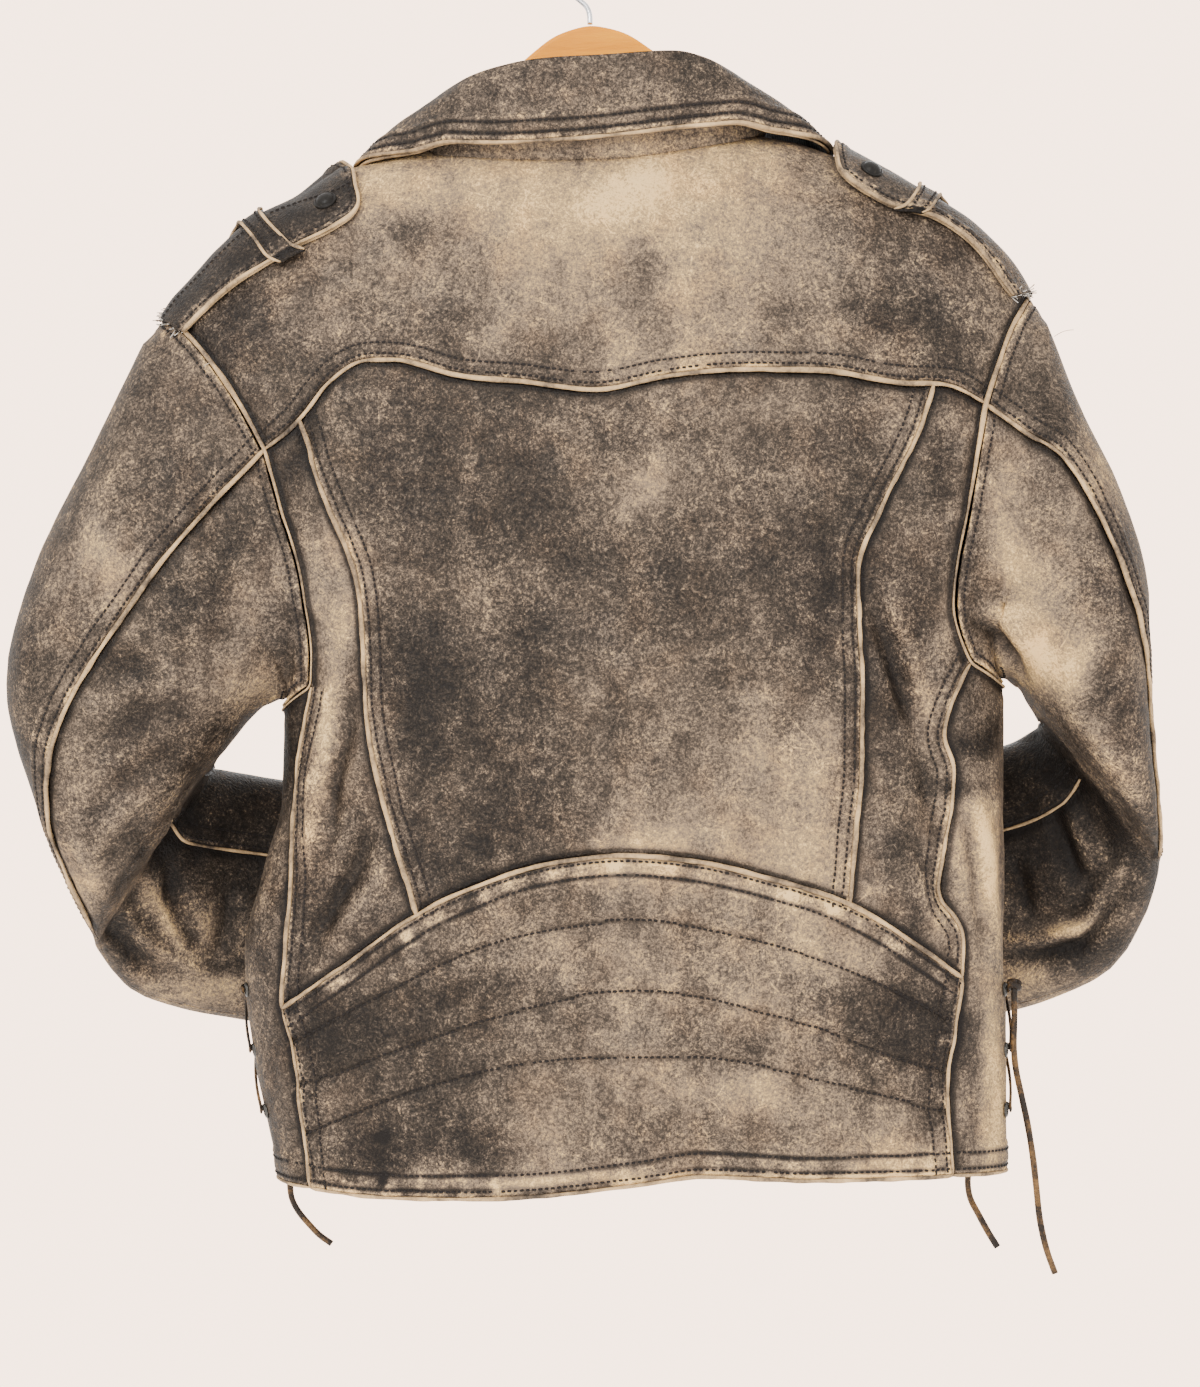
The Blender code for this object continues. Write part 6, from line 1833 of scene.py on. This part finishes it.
def sew(seams, finishes, ground):
    """The welts and the rows of stitches of every seam."""
    groups = {}
    for k, one in enumerate(seams):
        group = one.name.split("_")[0]
        groups.setdefault(SEWN_WITH.get(group, group), []).append((k, one))
    for group, members in groups.items():
        rolled, thread = Bundle(), Bundle()
        for k, one in members:
            if one.welt:
                laid_welt(rolled, ground, one, k)
            for i, offset in enumerate(one.rows):
                stitches(thread, ground, softened(one.row(offset), 6), seed=10 * k + i)
        if rolled.points:
            rolled.made(f"welt_{group}", finishes["welt"], "trim_leather")
        if thread.points:
            thread.made(f"stitches_{group}", finishes["thread"], "trim_leather")


# ------------------------------------------------------------ scene
def make_camera():
    data = bpy.data.cameras.new("camera")
    data.sensor_fit = "VERTICAL"
    data.sensor_height = SENSOR
    data.lens = SENSOR * -CAMERA[1] / FRAME_HEIGHT
    data.clip_start, data.clip_end = 0.05, 50
    camera = bpy.data.objects.new("camera", data)
    camera.location = Vector(CAMERA) * MM
    camera.rotation_euler = (math.pi / 2, 0, 0)
    bpy.context.scene.collection.objects.link(camera)
    bpy.context.scene.camera = camera


def area_light(name, spot, aim, size, power, colour=(1, 1, 1)):
    data = bpy.data.lights.new(name, "AREA")
    data.shape = "RECTANGLE"
    data.size, data.size_y = size
    data.energy = power
    data.color = colour
    light = bpy.data.objects.new(name, data)
    light.location = Vector(spot)
    light.rotation_euler = (Vector(aim) - Vector(spot)).to_track_quat("-Z", "Y").to_euler()
    bpy.context.scene.collection.objects.link(light)


def make_studio():
    """Pale floor well below the hanging jacket, pale surroundings and soft lights on both sides."""
    world = bpy.data.worlds.new("studio")
    world.use_nodes = True
    sky = world.node_tree.nodes["Background"]
    sky.inputs["Color"].default_value = (1.0, 0.965, 0.94, 1)
    sky.inputs["Strength"].default_value = 2.2
    seen = world.node_tree.nodes.new("ShaderNodeBackground")
    seen.inputs["Color"].default_value = (1.0, 0.73, 0.56, 1)
    seen.inputs["Strength"].default_value = 5.6
    path = world.node_tree.nodes.new("ShaderNodeLightPath")
    either = world.node_tree.nodes.new("ShaderNodeMixShader")
    link = world.node_tree.links.new
    link(path.outputs["Is Camera Ray"], either.inputs[0])
    link(sky.outputs[0], either.inputs[1])
    link(seen.outputs[0], either.inputs[2])
    link(either.outputs[0], world.node_tree.nodes["World Output"].inputs["Surface"])
    bpy.context.scene.world = world
    middle = (0.0, 0.0, -0.45)
    area_light("key", (-0.9, -2.2, 0.9), middle, (1.6, 1.2), 90)
    area_light("fill", (1.4, -1.9, -0.2), middle, (1.4, 1.6), 12)
    area_light("front", (0.7, 2.2, 0.7), middle, (1.8, 1.4), 34)
    pale = Finish("pale_floor", 0.8)
    grain = pale.noise(9.0, 3.0, 0.6)
    colour = pale.steps(grain, ((0.3, (0.86, 0.84, 0.82)), (0.7, (0.9, 0.88, 0.86))))
    pale.set(Base_Color=colour, Emission_Color=(1.0, 0.95, 0.91), Emission_Strength=0.9)
    turns = np.linspace(0, 2 * math.pi, 96, endpoint=False)
    mesh = bpy.data.meshes.new("floor")
    rim = [(2.2 * math.cos(a), 2.2 * math.sin(a), FLOOR_HEIGHT * MM) for a in turns]
    mesh.from_pydata(rim, [], [tuple(range(len(rim)))])
    mesh.materials.append(pale.material)
    floor = bpy.data.objects.new("floor", mesh)
    bpy.context.scene.collection.objects.link(floor)


def build():
    finishes = make_finishes()
    make_camera()
    make_cords(finishes["lace"])
    seams, neck_line = make_body(finishes)
    ground = Ground()
    sew(seams, finishes, ground)
    SURFACES.clear()
    collar = make_collar(neck_line, finishes)
    sew(collar, finishes, Ground())
    SURFACES.clear()
    left = make_strap("left", -1, STRAP_LEFT, STRAP_RIDGE_LEFT, 0.41, (-154, -170), 1.0, finishes)
    right = make_strap("right", 1, STRAP_RIGHT, STRAP_RIDGE_RIGHT, 0.375, (164, -152), 4.5, finishes)
    sew(left[0] + right[0], finishes, Ground())
    frayed = ((left, (-0.85, -0.4, -0.2)), (right, (0.8, -0.3, -0.4)))
    make_loose_threads([(strap[1], strap[2], np.array(way)) for strap, way in frayed], finishes)
    for name, side in SIDES.items():
        make_lacing(name, side, finishes)
    make_knot(finishes)
    make_zip(finishes)
    make_hanger(finishes)
    for node in ("zip_slider", "zip_bridge", "zip_pull"):
        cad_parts[node].data.materials.clear()
        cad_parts[node].data.materials.append(finishes["metal"])
    make_studio()


build()
